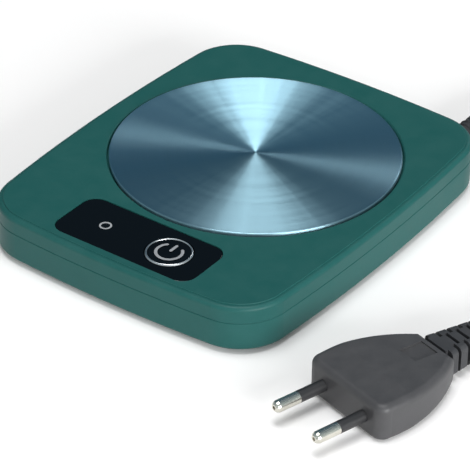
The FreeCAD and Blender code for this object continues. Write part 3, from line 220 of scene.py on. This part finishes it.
def build_grain(tree, source):
    """Fine moulded grain: two octaves of noise and a cell texture, as shade and as a normal."""
    fine = tree.add("ShaderNodeTexNoise", {"Vector": source["Vector"], "Scale": source["Scale"],
                                           "Detail": 3.0, "Roughness": 0.6}).outputs[0]
    cells = tree.add("ShaderNodeTexVoronoi", {
        "Vector": source["Vector"], "Scale": tree.math("MULTIPLY", source["Scale"], CELL_RATE)},
        feature="SMOOTH_F1").outputs["Distance"]
    height = tree.math("ADD", tree.math("MULTIPLY", fine, FINE_SHARE),
                       tree.math("MULTIPLY", cells, CELL_SHARE))
    bump = tree.add("ShaderNodeBump", {"Height": height, "Distance": source["Depth"],
                                       "Strength": 1.0}).outputs["Normal"]
    broad = tree.add("ShaderNodeTexNoise", {
        "Vector": source["Vector"], "Scale": tree.math("MULTIPLY", source["Scale"], MOTTLE_RATE),
        "Detail": 5.0, "Roughness": 0.62}).outputs[0]
    return {"Shade": height, "Mottle": broad, "Normal": bump}


def build_lay(tree, source):
    """Turned lay about an axis: noise on the distance from it, and slow change round it."""
    flat = tree.add("ShaderNodeVectorMath", {0: source["Vector"], 1: source["Centre"]},
                    operation="SUBTRACT").outputs[0]
    part = tree.add("ShaderNodeSeparateXYZ", {0: flat}).outputs
    reach = tree.math("SQRT", tree.math("ADD", tree.math("POWER", part[0], 2.0),
                                        tree.math("POWER", part[1], 2.0)))
    turn = tree.math("ARCTAN2", part[1], part[0])
    rings = tree.add("ShaderNodeTexNoise", {"W": tree.math("MULTIPLY", reach, source["Scale"]),
                                            "Scale": 1.0, "Detail": 4.0, "Roughness": 0.75},
                     noise_dimensions="1D").outputs[0]
    broad = tree.add("ShaderNodeTexNoise", {"W": tree.math("MULTIPLY", reach, BAND_RATE),
                                            "Scale": 1.0, "Detail": 2.0},
                     noise_dimensions="1D").outputs[0]
    bump = tree.add("ShaderNodeBump", {"Height": rings, "Distance": source["Depth"],
                                       "Strength": 1.0}).outputs["Normal"]
    return {"Rings": rings, "Broad": broad, "Turn": turn, "Reach": reach, "Normal": bump}


def build_brushed(tree, source):
    """Rolled or drawn sheet: noise stretched along one axis of the object."""
    stretched = tree.add("ShaderNodeVectorMath", {0: source["Vector"], 1: source["Stretch"]},
                         operation="MULTIPLY").outputs[0]
    lines = tree.add("ShaderNodeTexNoise", {"Vector": stretched, "Scale": source["Scale"],
                                            "Detail": 4.0, "Roughness": 0.7}).outputs[0]
    spots = tree.add("ShaderNodeTexNoise", {"Vector": source["Vector"], "Scale": SPOT_RATE,
                                            "Detail": 3.0}).outputs[0]
    bump = tree.add("ShaderNodeBump", {"Height": lines, "Distance": source["Depth"],
                                       "Strength": 1.0}).outputs["Normal"]
    return {"Lines": lines, "Spots": spots, "Normal": bump}


def build_weave(tree, source):
    """Woven or matted fibres: two crossed waves with noise, as shade and as a normal."""
    part = tree.add("ShaderNodeSeparateXYZ", {0: source["Vector"]}).outputs
    rate = source["Scale"]
    across = tree.math("SINE", tree.math("MULTIPLY", tree.math("ADD", part[0], part[2]), rate))
    along = tree.math("SINE", tree.math("MULTIPLY", tree.math("SUBTRACT", part[1], part[2]), rate))
    crossed = tree.math("MULTIPLY", across, along)
    loose = tree.add("ShaderNodeTexNoise", {"Vector": source["Vector"],
                                            "Scale": tree.math("MULTIPLY", rate, LOOSE_RATE),
                                            "Detail": 4.0, "Distortion": 0.6}).outputs[0]
    height = tree.math("ADD", tree.math("MULTIPLY", crossed, CROSS_SHARE), loose)
    bump = tree.add("ShaderNodeBump", {"Height": height, "Distance": source["Depth"],
                                       "Strength": 1.0}).outputs["Normal"]
    return {"Shade": height, "Normal": bump}


GROUPS = {}
PLACE = ("Vector", "Vector", None)


def make_groups():
    """The shading effects that several materials share."""
    depth, scale = ("Depth", "Float", 1e-5), ("Scale", "Float", 4000.0)
    normal = ("Normal", "Vector")
    GROUPS["grain"] = shared_group(
        "moulded_grain", [PLACE, scale, depth],
        [("Shade", "Float"), ("Mottle", "Float"), normal], build_grain)
    GROUPS["lay"] = shared_group(
        "turned_lay", [PLACE, ("Centre", "Vector", (0.0, 0.0, 0.0)), scale, depth],
        [("Rings", "Float"), ("Broad", "Float"), ("Turn", "Float"), ("Reach", "Float"), normal],
        build_lay)
    GROUPS["brushed"] = shared_group(
        "drawn_sheet", [PLACE, ("Stretch", "Vector", (1.0, 1.0, 1.0)), scale, depth],
        [("Lines", "Float"), ("Spots", "Float"), normal], build_brushed)
    GROUPS["weave"] = shared_group(
        "crossed_fibres", [PLACE, scale, depth], [("Shade", "Float"), normal], build_weave)


def start_material(name):
    """A material's tree with its Principled node and the object's own coordinates."""
    material = bpy.data.materials.new(name)
    material.use_nodes = True
    tree = Tree(material.node_tree)
    principled = material.node_tree.nodes["Principled BSDF"]
    place = tree.add("ShaderNodeTexCoord").outputs["Object"]
    return material, tree, principled, place


def connect(tree, principled, **sockets):
    """Links or sets the Principled node's inputs; underscores stand for spaces."""
    for name, value in sockets.items():
        tree.put(value, principled.inputs[name.replace("_", " ")])


def use_group(tree, name, place, **values):
    """The outputs of a shared effect at the given place."""
    node = tree.add("ShaderNodeGroup", node_tree=GROUPS[name])
    for label, value in {"Vector": place, **values}.items():
        tree.put(value, node.inputs[label])
    return node.outputs


def toned_down(base, share_left):
    """A colour with each level multiplied."""
    return [level * share_left for level in tuple(base)[:3]]


GLOSS_CHANGE = 0.05
FINE_CHANGE = 0.08
PALE_LIFT = 0.004
PEEL_RATE, PEEL_DEPTH = 900.0, 1.5e-6
DUST_RATE, DUST_MOST, DUST_LIFT = 2600.0, 0.18, 0.03
TARNISH_LEFT = 0.82
FIBRE_SHADOW = 0.6


def moulded(name, base, roughness, scale=4200.0, depth=1.2e-5, mottle=0.12, coat=0.0,
            specular=0.5):
    """Moulded plastic or rubber: grain, slow mottling of its shade and a change of gloss as from
    wear.
    """
    material, tree, principled, place = start_material(name)
    grain = use_group(tree, "grain", place, Scale=scale, Depth=depth)
    dark = toned_down(base, 1 - mottle)
    pale = [min(1.0, level + PALE_LIFT) for level in toned_down(base, 1 + mottle)]
    broad = tree.span(grain["Mottle"], 0.3, 0.7, 0.0, 1.0)
    shade = tree.blend(broad, dark, pale)
    fine = tree.span(grain["Shade"], 0.2, 0.8, 1 - FINE_CHANGE, 1 + FINE_CHANGE)
    toned = tree.blend(1.0, shade, fine, "MULTIPLY")
    gloss = tree.span(grain["Mottle"], 0.3, 0.7, roughness - GLOSS_CHANGE,
                      roughness + GLOSS_CHANGE)
    connect(tree, principled, Base_Color=toned, Roughness=gloss, Normal=grain["Normal"],
            Coat_Weight=coat, Coat_Roughness=0.2, Specular_IOR_Level=specular)
    return material


def gloss_plastic(name, base, roughness=0.07):
    """Polished plastic: faint orange peel and a little dust in the gloss."""
    material, tree, principled, place = start_material(name)
    peel = use_group(tree, "grain", place, Scale=PEEL_RATE, Depth=PEEL_DEPTH)
    dust = tree.add("ShaderNodeTexNoise", {"Vector": place, "Scale": DUST_RATE, "Detail": 2.0})
    specks = tree.span(dust.outputs[0], 0.68, 0.78, 0.0, DUST_MOST)
    tone = tree.blend(specks, base, [level + DUST_LIFT for level in tuple(base)[:3]])
    rough = tree.math("ADD", tree.span(peel["Mottle"], 0.3, 0.7, roughness * 0.7, roughness * 1.5),
                      specks)
    connect(tree, principled, Base_Color=tone, Roughness=rough, Normal=peel["Normal"],
            IOR=1.4)
    return material


def sheet_metal(name, base, roughness, stretch=(1.0, 12.0, 12.0), scale=900.0, depth=2e-6):
    """Drawn, plated or stamped metal: fine lines along one way and slow tarnish."""
    material, tree, principled, place = start_material(name)
    lines = use_group(tree, "brushed", place, Stretch=stretch, Scale=scale, Depth=depth)
    dull = toned_down(base, TARNISH_LEFT)
    tarnish = tree.span(lines["Spots"], 0.35, 0.75, 0.0, 1.0)
    tone = tree.blend(tarnish, base, dull)
    rough = tree.span(lines["Lines"], 0.25, 0.75, roughness * 0.75, roughness * 1.3)
    connect(tree, principled, Base_Color=tone, Roughness=rough, Metallic=1.0,
            Normal=lines["Normal"])
    return material


def fibres(name, base, scale, depth, roughness=0.9, sheen=0.5):
    """Woven band or pressed wool."""
    material, tree, principled, place = start_material(name)
    weave = use_group(tree, "weave", place, Scale=scale, Depth=depth)
    dark = toned_down(base, FIBRE_SHADOW)
    tone = tree.blend(tree.span(weave["Shade"], 0.1, 0.9, 0.0, 1.0), dark, base)
    connect(tree, principled, Base_Color=tone, Roughness=roughness, Normal=weave["Normal"],
            Sheen_Weight=sheen, Sheen_Roughness=0.5)
    return material


def glass_tube(name, base):
    """Clear tube with faint streaks."""
    material, tree, principled, place = start_material(name)
    lines = use_group(tree, "brushed", place, Stretch=(1.0, 8.0, 8.0), Scale=600.0, Depth=1e-6)
    rough = tree.span(lines["Lines"], 0.3, 0.7, 0.02, 0.08)
    connect(tree, principled, Base_Color=opaque(base), Roughness=rough, Transmission_Weight=0.8,
            IOR=1.48)
    return material


def dress(material, *names):
    """Gives CAD nodes a material."""
    for name in names:
        mesh = NODES[name].data
        mesh.materials.clear()
        mesh.materials.append(material)


# Surfaces made from formulas

def add_surface(name, points, faces, material, body):
    """A mesh piece with its object at the origin, riding on a CAD body."""
    mesh = bpy.data.meshes.new(name)
    mesh.from_pydata([tuple(float(v) for v in p) for p in points], [], faces)
    mesh.update()
    mesh.polygons.foreach_set("use_smooth", [True] * len(mesh.polygons))
    mesh.materials.append(material)
    piece = bpy.data.objects.new(name, mesh)
    bpy.context.scene.collection.objects.link(piece)
    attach(piece, body)


STROKE_COLUMNS = 9


def stroke(line, width, rise):
    """Points and faces of a domed stroke along a line in the plane.

    With c(t) the line, n(t) its normal and u the distance to the nearer end over the half width,
    the half width is h = w / 2 * sqrt(1 - (1 - u)^2) for u < 1 and w / 2 beyond, and the
    point at share s from -1 to 1 is c + s h n, raised by rise * (1 - s^4).
    """
    line = np.asarray(line, float)
    step = np.gradient(line, axis=0)
    step /= np.linalg.norm(step, axis=1)[:, None]
    side = np.stack([-step[:, 1], step[:, 0]], axis=1)
    travel = np.concatenate([[0.0], np.cumsum(np.linalg.norm(np.diff(line, axis=0), axis=1))])
    near = np.minimum(travel, travel[-1] - travel) / (width / 2)
    half = width / 2 * np.sqrt(np.clip(1 - (1 - np.clip(near, 0, 1)) ** 2, 1e-6, 1))
    across = np.linspace(-1.0, 1.0, STROKE_COLUMNS)
    flat = line[:, None] + (side * half[:, None])[:, None] * across[:, None]
    height = np.broadcast_to(rise * (1 - across ** 4), flat.shape[:2])
    points = np.dstack([flat, height]).reshape(-1, 3)
    faces, columns = [], STROKE_COLUMNS
    for index in range(len(line) - 1):
        for column in range(columns - 1):
            corner = index * columns + column
            faces.append((corner, corner + columns, corner + columns + 1, corner + 1))
    return points, faces


def dense_ends(count):
    """Shares from 0 to 1 that crowd at both ends: (1 - cos(pi t)) / 2."""
    return (1 - np.cos(np.linspace(0, math.pi, count))) / 2


# Cord

BEVEL_STEPS, CURVE_STEPS = 7, 6
COIL_CENTRE = (0.104, 0.098)
COIL_LOW, COIL_PITCH = 0.0038, 0.0061
COIL_RADII = (0.0376, 0.03455, 0.0315, 0.02845, 0.0254, 0.018385, 0.026925, 0.029975, 0.033025,
              0.036075, 0.039125)
LAYER_STEPS = 5
HALF_TURN_POINTS = 14
LEAD_ROUTE = [
    (0.0395, 0.0888, 0.0066), (0.0395, 0.101, 0.0066), (0.0442, 0.114, 0.005),
    (0.054, 0.1255, 0.0034), (0.068, 0.133, 0.003), (0.084, 0.1356, 0.0038)]
TAIL_ROUTE = [
    (0.14465, 0.0924, 0.0099), (0.14465, 0.0805, 0.0099), (0.142, 0.066, 0.0068),
    (0.1385, 0.051, 0.0037), (0.1315, 0.036, 0.0029), (0.1245, 0.0215, 0.00295),
    (0.1178, 0.008, 0.0044), (0.11223, -0.00505, 0.00652), (0.10845, -0.01796, 0.00652)]


def coil_points():
    """The coil's route: half turns of radius (a + b) / 2 that join one radius to the next.

    Half turn k runs clockwise from (x, y + s a) to (x, y - s b) with s = (-1)^k. Its middle is
    at y + s (a - b) / 2, and its height eases from one layer to the next by 3t^2 - 2t^3. A
    point of the control line stands out by 1 / cos(step / 2)^2, which a quadratic curve takes
    back.
    """
    points = []
    count = HALF_TURN_POINTS
    stand_out = 1 + (math.pi / count) ** 2 / 8
    for step in range(len(COIL_RADII) - 1):
        start, end = COIL_RADII[step], COIL_RADII[step + 1]
        side = 1 if step % 2 == 0 else -1
        radius = (start + end) / 2 * stand_out
        middle = COIL_CENTRE[1] + side * (start - end) / 2
        for index in range(count):
            part = index / count
            angle = math.pi / 2 * side - math.pi * part
            rise = part * part * (3 - 2 * part) if step == LAYER_STEPS - 1 else 0.0
            height = COIL_LOW + COIL_PITCH * (rise if step < LAYER_STEPS else 1.0)
            points.append((COIL_CENTRE[0] + radius * math.cos(angle),
                           middle + radius * math.sin(angle), height))
    last, reach = COIL_RADII[-1], COIL_RADII[-1] + COIL_PITCH / 4
    for index in range(count // 2 + 1):
        angle = math.pi / 2 - math.pi * index / count
        points.append((COIL_CENTRE[0] + reach * stand_out * math.cos(angle),
                       COIL_CENTRE[1] + last * math.sin(angle), COIL_LOW + COIL_PITCH))
    return points


# Operators

SHELL = ("top_housing", "base_cover")
FEET = ("foot_front_left", "foot_front_right", "foot_rear_left", "foot_rear_right")


class WARMER_OT_housing(bpy.types.Operator):
    """Finish the moulded shell, its feet and its screws"""
    bl_idname = "warmer.housing"
    bl_label = "Housing"

    def execute(self, context):
        look = context.scene.warmer_housing
        dress(moulded("shell_plastic", look.shell, look.shell_roughness,
                      depth=look.shell_grain, mottle=0.025, specular=0.22), *SHELL)
        dress(moulded("foot_rubber", look.feet, 0.8, 6000.0, 2e-5, 0.2), *FEET)
        dress(sheet_metal("zinc_screws", linear(186, 188, 190), 0.3, (6.0, 6.0, 1.0)),
              "housing_screws", "clamp_screws", "board_screws", "stud_nuts")
        return {"FINISHED"}


# Plate: the turn where its painted highlight is strongest (painted shade on the opposite side),
# lay, shade of its rings, and change of roughness by rings and round it
PAINTED_LIGHT_TURN = math.radians(127.0)
LAY_RATE, LAY_DEPTH = 9000.0, 1.5e-6
RING_SHADE = 0.84
BAND_CHANGE, FAN_CHANGE, FAN_RATE = 0.035, 0.03, 9.0
LAY_ACROSS_RADIUS = 0.25


class WARMER_OT_plate(bpy.types.Operator):
    """Finish the turned plate and the seal round it"""
    bl_idname = "warmer.plate"
    bl_label = "Heating plate"

    def execute(self, context):
        look = context.scene.warmer_plate
        low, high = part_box("heating_plate")
        centre = ((low.x + high.x) / 2, (low.y + high.y) / 2, 0.0)
        material, tree, principled, place = start_material("turned_plate")
        lay = use_group(tree, "lay", place, Centre=centre, Scale=LAY_RATE, Depth=LAY_DEPTH)
        dull = toned_down(look.metal, RING_SHADE)
        # Painted highlight and shade: the colour is full at the turn set above and falls to the
        # set level on the opposite side, copying the uneven highlight fans
        toward_painted_light = tree.math("COSINE", tree.math("SUBTRACT", lay["Turn"], PAINTED_LIGHT_TURN))
        even = tree.blend(tree.span(lay["Rings"], 0.3, 0.7, 0.0, 1.0), dull, look.metal)
        shaded = tree.span(toward_painted_light, -1.0, 1.0, look.painted_shade_level, 1.0)
        tone = tree.blend(1.0, even, shaded, "MULTIPLY")
        bands = tree.span(lay["Broad"], 0.3, 0.7, -BAND_CHANGE, BAND_CHANGE)
        wander = tree.add("ShaderNodeTexNoise", {
            "W": tree.math("MULTIPLY", lay["Turn"], FAN_RATE), "Scale": 1.0, "Detail": 3.0},
            noise_dimensions="1D").outputs[0]
        fans = tree.span(wander, 0.3, 0.7, -FAN_CHANGE, FAN_CHANGE)
        rough = tree.math("ADD", tree.math("ADD", bands, fans), look.roughness)
        tangent = tree.add("ShaderNodeTangent", direction_type="RADIAL", axis="Z")
        connect(tree, principled, Base_Color=tone, Roughness=rough, Metallic=1.0,
                Anisotropic=look.brushing, Anisotropic_Rotation=LAY_ACROSS_RADIUS,
                Tangent=tangent.outputs[0])
        dress(material, "heating_plate")
        dress(moulded("seal_silicone", look.seal, 0.55, 5000.0, 8e-6, 0.08), "plate_seal")
        return {"FINISHED"}


class WARMER_OT_panel(bpy.types.Operator):
    """Finish the panel, its key, its bright ring and its indicator"""
    bl_idname = "warmer.panel"
    bl_label = "Control panel"

    def execute(self, context):
        look = context.scene.warmer_panel
        dress(gloss_plastic("panel_gloss", look.gloss), "control_panel", "power_button",
              "light_core")
        dress(sheet_metal("trim_metal", look.trim, 0.3, (1.0, 1.0, 8.0), 1500.0, 8e-7),
              "button_ring")
        dress(moulded("light_guide", look.guide, 0.35, 3000.0, 3e-6, 0.04, coat=0.2),
              "light_ring", "indicator_lamp")
        dress(moulded("plunger", linear(40, 41, 43), 0.5), "switch_plunger", "key_switch")
        return {"FINISHED"}


# Symbol: half the arc's gap, the bar's ends as shares of the arc's radius, and the ink's height
SYMBOL_GAP = math.radians(38.0)
BAR_FROM, BAR_TO = 0.08, 1.06
INK_RISE, INK_LIFT = 0.02 * MM, 0.004 * MM
ARC_POINTS, BAR_POINTS = 120, 40


class WARMER_OT_symbol(bpy.types.Operator):
    """Add the printed power symbol on the key"""
    bl_idname = "warmer.symbol"
    bl_label = "Power symbol"

    def execute(self, context):
        look = context.scene.warmer_panel
        cap_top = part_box("power_button")[1].z
        low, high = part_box("button_ring")
        centre = np.array([(low.x + high.x) / 2, (low.y + high.y) / 2])
        reach = look.symbol_reach
        sweep = 2 * math.pi - 2 * SYMBOL_GAP
        turn = math.pi / 2 + SYMBOL_GAP + sweep * dense_ends(ARC_POINTS)
        arc = np.stack([reach * np.cos(turn), reach * np.sin(turn)], axis=1)
        bar_y = reach * (BAR_FROM + (BAR_TO - BAR_FROM) * dense_ends(BAR_POINTS))
        bar = np.stack([np.zeros(BAR_POINTS), bar_y], axis=1)
        ink = moulded("symbol_ink", look.symbol, 0.4, 5000.0, 2e-6, 0.06)
        points, faces = [], []
        for line in (arc, bar):
            made, corners = stroke(line + centre, look.symbol_stroke, INK_RISE)
            made[:, 2] += cap_top + INK_LIFT
            start = sum(len(part) for part in points)
            points.append(made)
            faces += [tuple(corner + start for corner in face) for face in corners]
        add_surface("power_symbol", np.concatenate(points), faces, ink, "power_key")
        return {"FINISHED"}


class WARMER_OT_cord(bpy.types.Operator):
    """Add the mains cord as one curve in place of the plain tubes"""
    bl_idname = "warmer.cord"
    bl_label = "Mains cord"

    def execute(self, context):
        look = context.scene.warmer_cord
        route = LEAD_ROUTE + coil_points() + TAIL_ROUTE
        curve = bpy.data.curves.new("mains_cord", "CURVE")
        curve.dimensions = "3D"
        curve.bevel_depth = look.diameter / 2
        curve.bevel_resolution = BEVEL_STEPS
        curve.resolution_u = CURVE_STEPS
        curve.use_fill_caps = True
        spline = curve.splines.new("NURBS")
        spline.points.add(len(route) - 1)
        for point, place in zip(spline.points, route):
            point.co = (*place, 1.0)
        spline.order_u = 3
        spline.use_endpoint_u = True
        sheath = moulded("cord_sheath", look.sheath, 0.5, 3500.0, 8e-6, 0.12)
        curve.materials.append(sheath)
        piece = bpy.data.objects.new("mains_cord", curve)
        context.scene.collection.objects.link(piece)
        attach(piece, "root")
        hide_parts("cord_lead", "cord_coil", "cord_tail")
        dress(sheath, "cord_inner")
        dress(moulded("boot_rubber", look.sheath, 0.6, 5000.0, 1.4e-5, 0.12), "strain_relief",
              "plug_relief")
        dress(fibres("tie_weave", linear(40, 41, 44), 9000.0, 4e-5), "cord_tie")
        return {"FINISHED"}


class WARMER_OT_plug(bpy.types.Operator):
    """Finish the two-pin plug"""
    bl_idname = "warmer.plug"
    bl_label = "Plug"

    def execute(self, context):
        look = context.scene.warmer_cord
        dress(moulded("plug_plastic", look.plug, 0.5, 4500.0, 2.2e-5, 0.08), "plug_body")
        dress(moulded("pin_sleeve", linear(34, 34, 36), 0.45, 6000.0, 4e-6, 0.08),
              "pin_sleeve_left", "pin_sleeve_right")
        dress(sheet_metal("pin_nickel", look.pins, 0.24, (6.0, 1.0, 6.0), 1600.0, 1e-6),
              "plug_pin_left", "plug_pin_right")
        return {"FINISHED"}


class WARMER_OT_inside(bpy.types.Operator):
    """Finish the heater, the board and the leads inside the shell"""
    bl_idname = "warmer.inside"
    bl_label = "Inside"

    def execute(self, context):
        dress(moulded("mica_sheet", linear(178, 160, 124), 0.5, 900.0, 1.5e-5, 0.22),
              "heater_element")
        dress(fibres("ceramic_wool", linear(236, 234, 226), 2600.0, 1.2e-4, 0.95, 0.2),
              "insulation_pad")
        dress(sheet_metal("pressed_steel", linear(176, 178, 180), 0.34), "heater_pan",
              "fuse_clip", "sensor_clip")
        dress(sheet_metal("stamped_brass", linear(206, 176, 104), 0.3), "heater_tabs")
        dress(gloss_plastic("solder_mask", linear(22, 84, 48), 0.22), "control_board")
        dress(moulded("epoxy_black", linear(34, 34, 37), 0.45, 5200.0, 6e-6), "control_chip",
              "triac", "thermal_fuse", "thermistor")
        dress(moulded("film_case", linear(206, 164, 46), 0.35, 3000.0, 4e-6), "film_capacitor")
        dress(moulded("lacquer", linear(190, 168, 130), 0.3, 3000.0, 5e-6), "dropper_resistor")
        dress(moulded("terminal_green", linear(40, 122, 70), 0.4, 4000.0, 6e-6),
              "terminal_block")
        dress(glass_tube("fuse_glass", linear(228, 236, 236)), "mains_fuse")
        dress(moulded("clamp_nylon", linear(226, 222, 210), 0.45, 3000.0, 6e-6), "cord_clamp")
        dress(moulded("lead_brown", linear(104, 66, 40), 0.42, 3000.0, 6e-6), "mains_lead_live",
              "heater_lead_left")
        dress(moulded("lead_blue", linear(48, 90, 168), 0.42, 3000.0, 6e-6),
              "mains_lead_neutral", "heater_lead_right")
        return {"FINISHED"}


# Stage

CAMERA_TARGET = Vector((0.0091, -0.0142, 0.0015))
CAMERA_REACH = 0.9733
CAMERA_TURN, CAMERA_RISE, CAMERA_ROLL = 35.68, 33.79, 0.69
CAMERA_LENS, SENSOR_WIDTH = 226.2, 36.0
FLOOR_HALF, FLOOR_DROP = 4.0, 0.00005

# Name, place, size across and down, and the setting that holds the power
LIGHTS = (
    ("side_light", (2.1, -0.8, 0.6), (1.4, 0.8), "key_power"),
    ("top_light", (0.02, -0.1, 2.2), (1.1, 0.9), "top_power"),
    ("far_light", (-0.1, 1.9, 1.15), (0.25, 0.4), "far_power"),
    ("front_light", (0.5, -2.2, 1.1), (1.4, 1.0), "front_power"),
)

# The room is darkest in this direction; colours go from there to the pale side
DARK_SIDE = (-0.485, 0.675, 0.556)
ROOM_IN_GLOSS = ((0.11, 0.22, 0.31), (0.8, 0.95, 1.0))
ROOM_ELSEWHERE = ((0.35, 0.35, 0.35), (1.0, 1.0, 1.0))


def camera_frame():
    """The camera's right, up and backward directions from its turn, rise and roll."""
    turn, rise, roll = (math.radians(v) for v in (CAMERA_TURN, CAMERA_RISE, CAMERA_ROLL))
    back = Vector((math.sin(turn) * math.cos(rise), -math.cos(turn) * math.cos(rise),
                   math.sin(rise)))
    right = Vector((math.cos(turn), math.sin(turn), 0.0))
    up = back.cross(right)
    return (right * math.cos(roll) + up * math.sin(roll),
            up * math.cos(roll) - right * math.sin(roll), back)


def area_light(name, place, size, power):
    """A soft rectangular light that faces the object."""
    light = bpy.data.lights.new(name, "AREA")
    light.shape = "RECTANGLE"
    light.size, light.size_y = size
    light.energy = power
    lamp = bpy.data.objects.new(name, light)
    lamp.location = place
    lamp.rotation_mode = "QUATERNION"
    lamp.rotation_quaternion = (-Vector(place)).to_track_quat("-Z", "Y")
    bpy.context.scene.collection.objects.link(lamp)


def build_world(look):
    """White where the camera sees it; elsewhere a pale room with one dark, far side."""
    world = bpy.data.worlds.new("room")
    world.use_nodes = True
    bpy.context.scene.world = world
    tree = Tree(world.node_tree)
    back = world.node_tree.nodes["Background"]
    way = tree.add("ShaderNodeTexCoord").outputs["Generated"]
    toward = tree.add("ShaderNodeVectorMath", {0: way, 1: DARK_SIDE}, operation="DOT_PRODUCT")
    pale = tree.span(toward.outputs["Value"], 0.2, 0.85, 1.0, 0.0)
    path = tree.add("ShaderNodeLightPath").outputs
    mirrored = tree.blend(pale, *ROOM_IN_GLOSS)
    plain = tree.blend(pale, *ROOM_ELSEWHERE)
    level = tree.blend(path["Is Glossy Ray"], plain, mirrored)
    dimmed = tree.blend(1.0, level, [look.room] * 3, "MULTIPLY")
    seen = tree.math("MAXIMUM", path["Is Camera Ray"], path["Is Transmission Ray"])
    shown = tree.blend(seen, dimmed, (1.0, 1.0, 1.0))
    tree.put(shown, back.inputs["Color"])
    tree.put(1.0, back.inputs["Strength"])


class WARMER_OT_stage(bpy.types.Operator):
    """Add the floor, the lights, the room and the camera"""
    bl_idname = "warmer.stage"
    bl_label = "Stage"

    def execute(self, context):
        look = context.scene.warmer_stage
        scene = context.scene
        mesh = bpy.data.meshes.new("floor")
        corners = [(x * FLOOR_HALF, y * FLOOR_HALF, 0)
                   for x, y in ((-1, -1), (1, -1), (1, 1), (-1, 1))]
        mesh.from_pydata(corners, [], [(0, 1, 2, 3)])
        floor = bpy.data.objects.new("floor", mesh)
        floor.location = (0.0, 0.0, -FLOOR_DROP)
        scene.collection.objects.link(floor)
        material, tree, principled, _ = start_material("floor_paper")
        connect(tree, principled, Base_Color=opaque(look.floor), Roughness=0.85)
        mesh.materials.append(material)
        build_world(look)
        for name, place, size, power in LIGHTS:
            area_light(name, place, size, getattr(look, power))
        right, up, back = camera_frame()
        lens = bpy.data.cameras.new("camera")
        lens.sensor_fit = "HORIZONTAL"
        lens.sensor_width = SENSOR_WIDTH
        lens.lens = CAMERA_LENS
        lens.clip_start, lens.clip_end = 0.01, 50.0
        camera = bpy.data.objects.new("camera", lens)
        turned = Matrix((right, up, back)).transposed().to_4x4()
        turned.translation = CAMERA_TARGET + back * CAMERA_REACH
        camera.matrix_world = turned
        scene.collection.objects.link(camera)
        scene.camera = camera
        scene.view_settings.view_transform = "Standard"
        return {"FINISHED"}


class WARMER_PT_panel(bpy.types.Panel):
    """Lists the settings and the steps that build the look"""
    bl_idname = "WARMER_PT_panel"
    bl_label = "Mug warmer"
    bl_space_type = "VIEW_3D"
    bl_region_type = "UI"
    bl_category = "Mug warmer"

    def draw(self, context):
        for name, step_names in SECTIONS:
            box = self.layout.box()
            look = getattr(context.scene, name)
            for setting in type(look).__annotations__:
                box.prop(look, setting)
            for step_name in step_names:
                box.operator(step_name)


LOOKS = {
    "warmer_housing": WarmerHousingLook,
    "warmer_plate": WarmerPlateLook,
    "warmer_panel": WarmerPanelLook,
    "warmer_cord": WarmerCordLook,
    "warmer_stage": WarmerStageLook,
}
SECTIONS = (
    ("warmer_housing", ("warmer.housing", "warmer.inside")),
    ("warmer_plate", ("warmer.plate",)),
    ("warmer_panel", ("warmer.panel", "warmer.symbol")),
    ("warmer_cord", ("warmer.cord", "warmer.plug")),
    ("warmer_stage", ("warmer.stage",)),
)
CLASSES = (
    *LOOKS.values(), WARMER_OT_housing, WARMER_OT_plate, WARMER_OT_panel, WARMER_OT_symbol,
    WARMER_OT_cord, WARMER_OT_plug, WARMER_OT_inside, WARMER_OT_stage, WARMER_PT_panel)


def register():
    """Registers the classes and hangs the settings on the scene."""
    for kind in CLASSES:
        bpy.utils.register_class(kind)
    for name, kind in LOOKS.items():
        setattr(bpy.types.Scene, name, bpy.props.PointerProperty(type=kind))


def unregister():
    """Takes the settings and classes away again."""
    for name in LOOKS:
        delattr(bpy.types.Scene, name)
    for kind in reversed(CLASSES):
        bpy.utils.unregister_class(kind)


def main():
    """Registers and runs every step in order."""
    register()
    make_groups()
    for _, step_names in SECTIONS:
        for step_name in step_names:
            area, action = step_name.split(".")
            getattr(getattr(bpy.ops, area), action)()


if __name__ == "__main__":
    main()
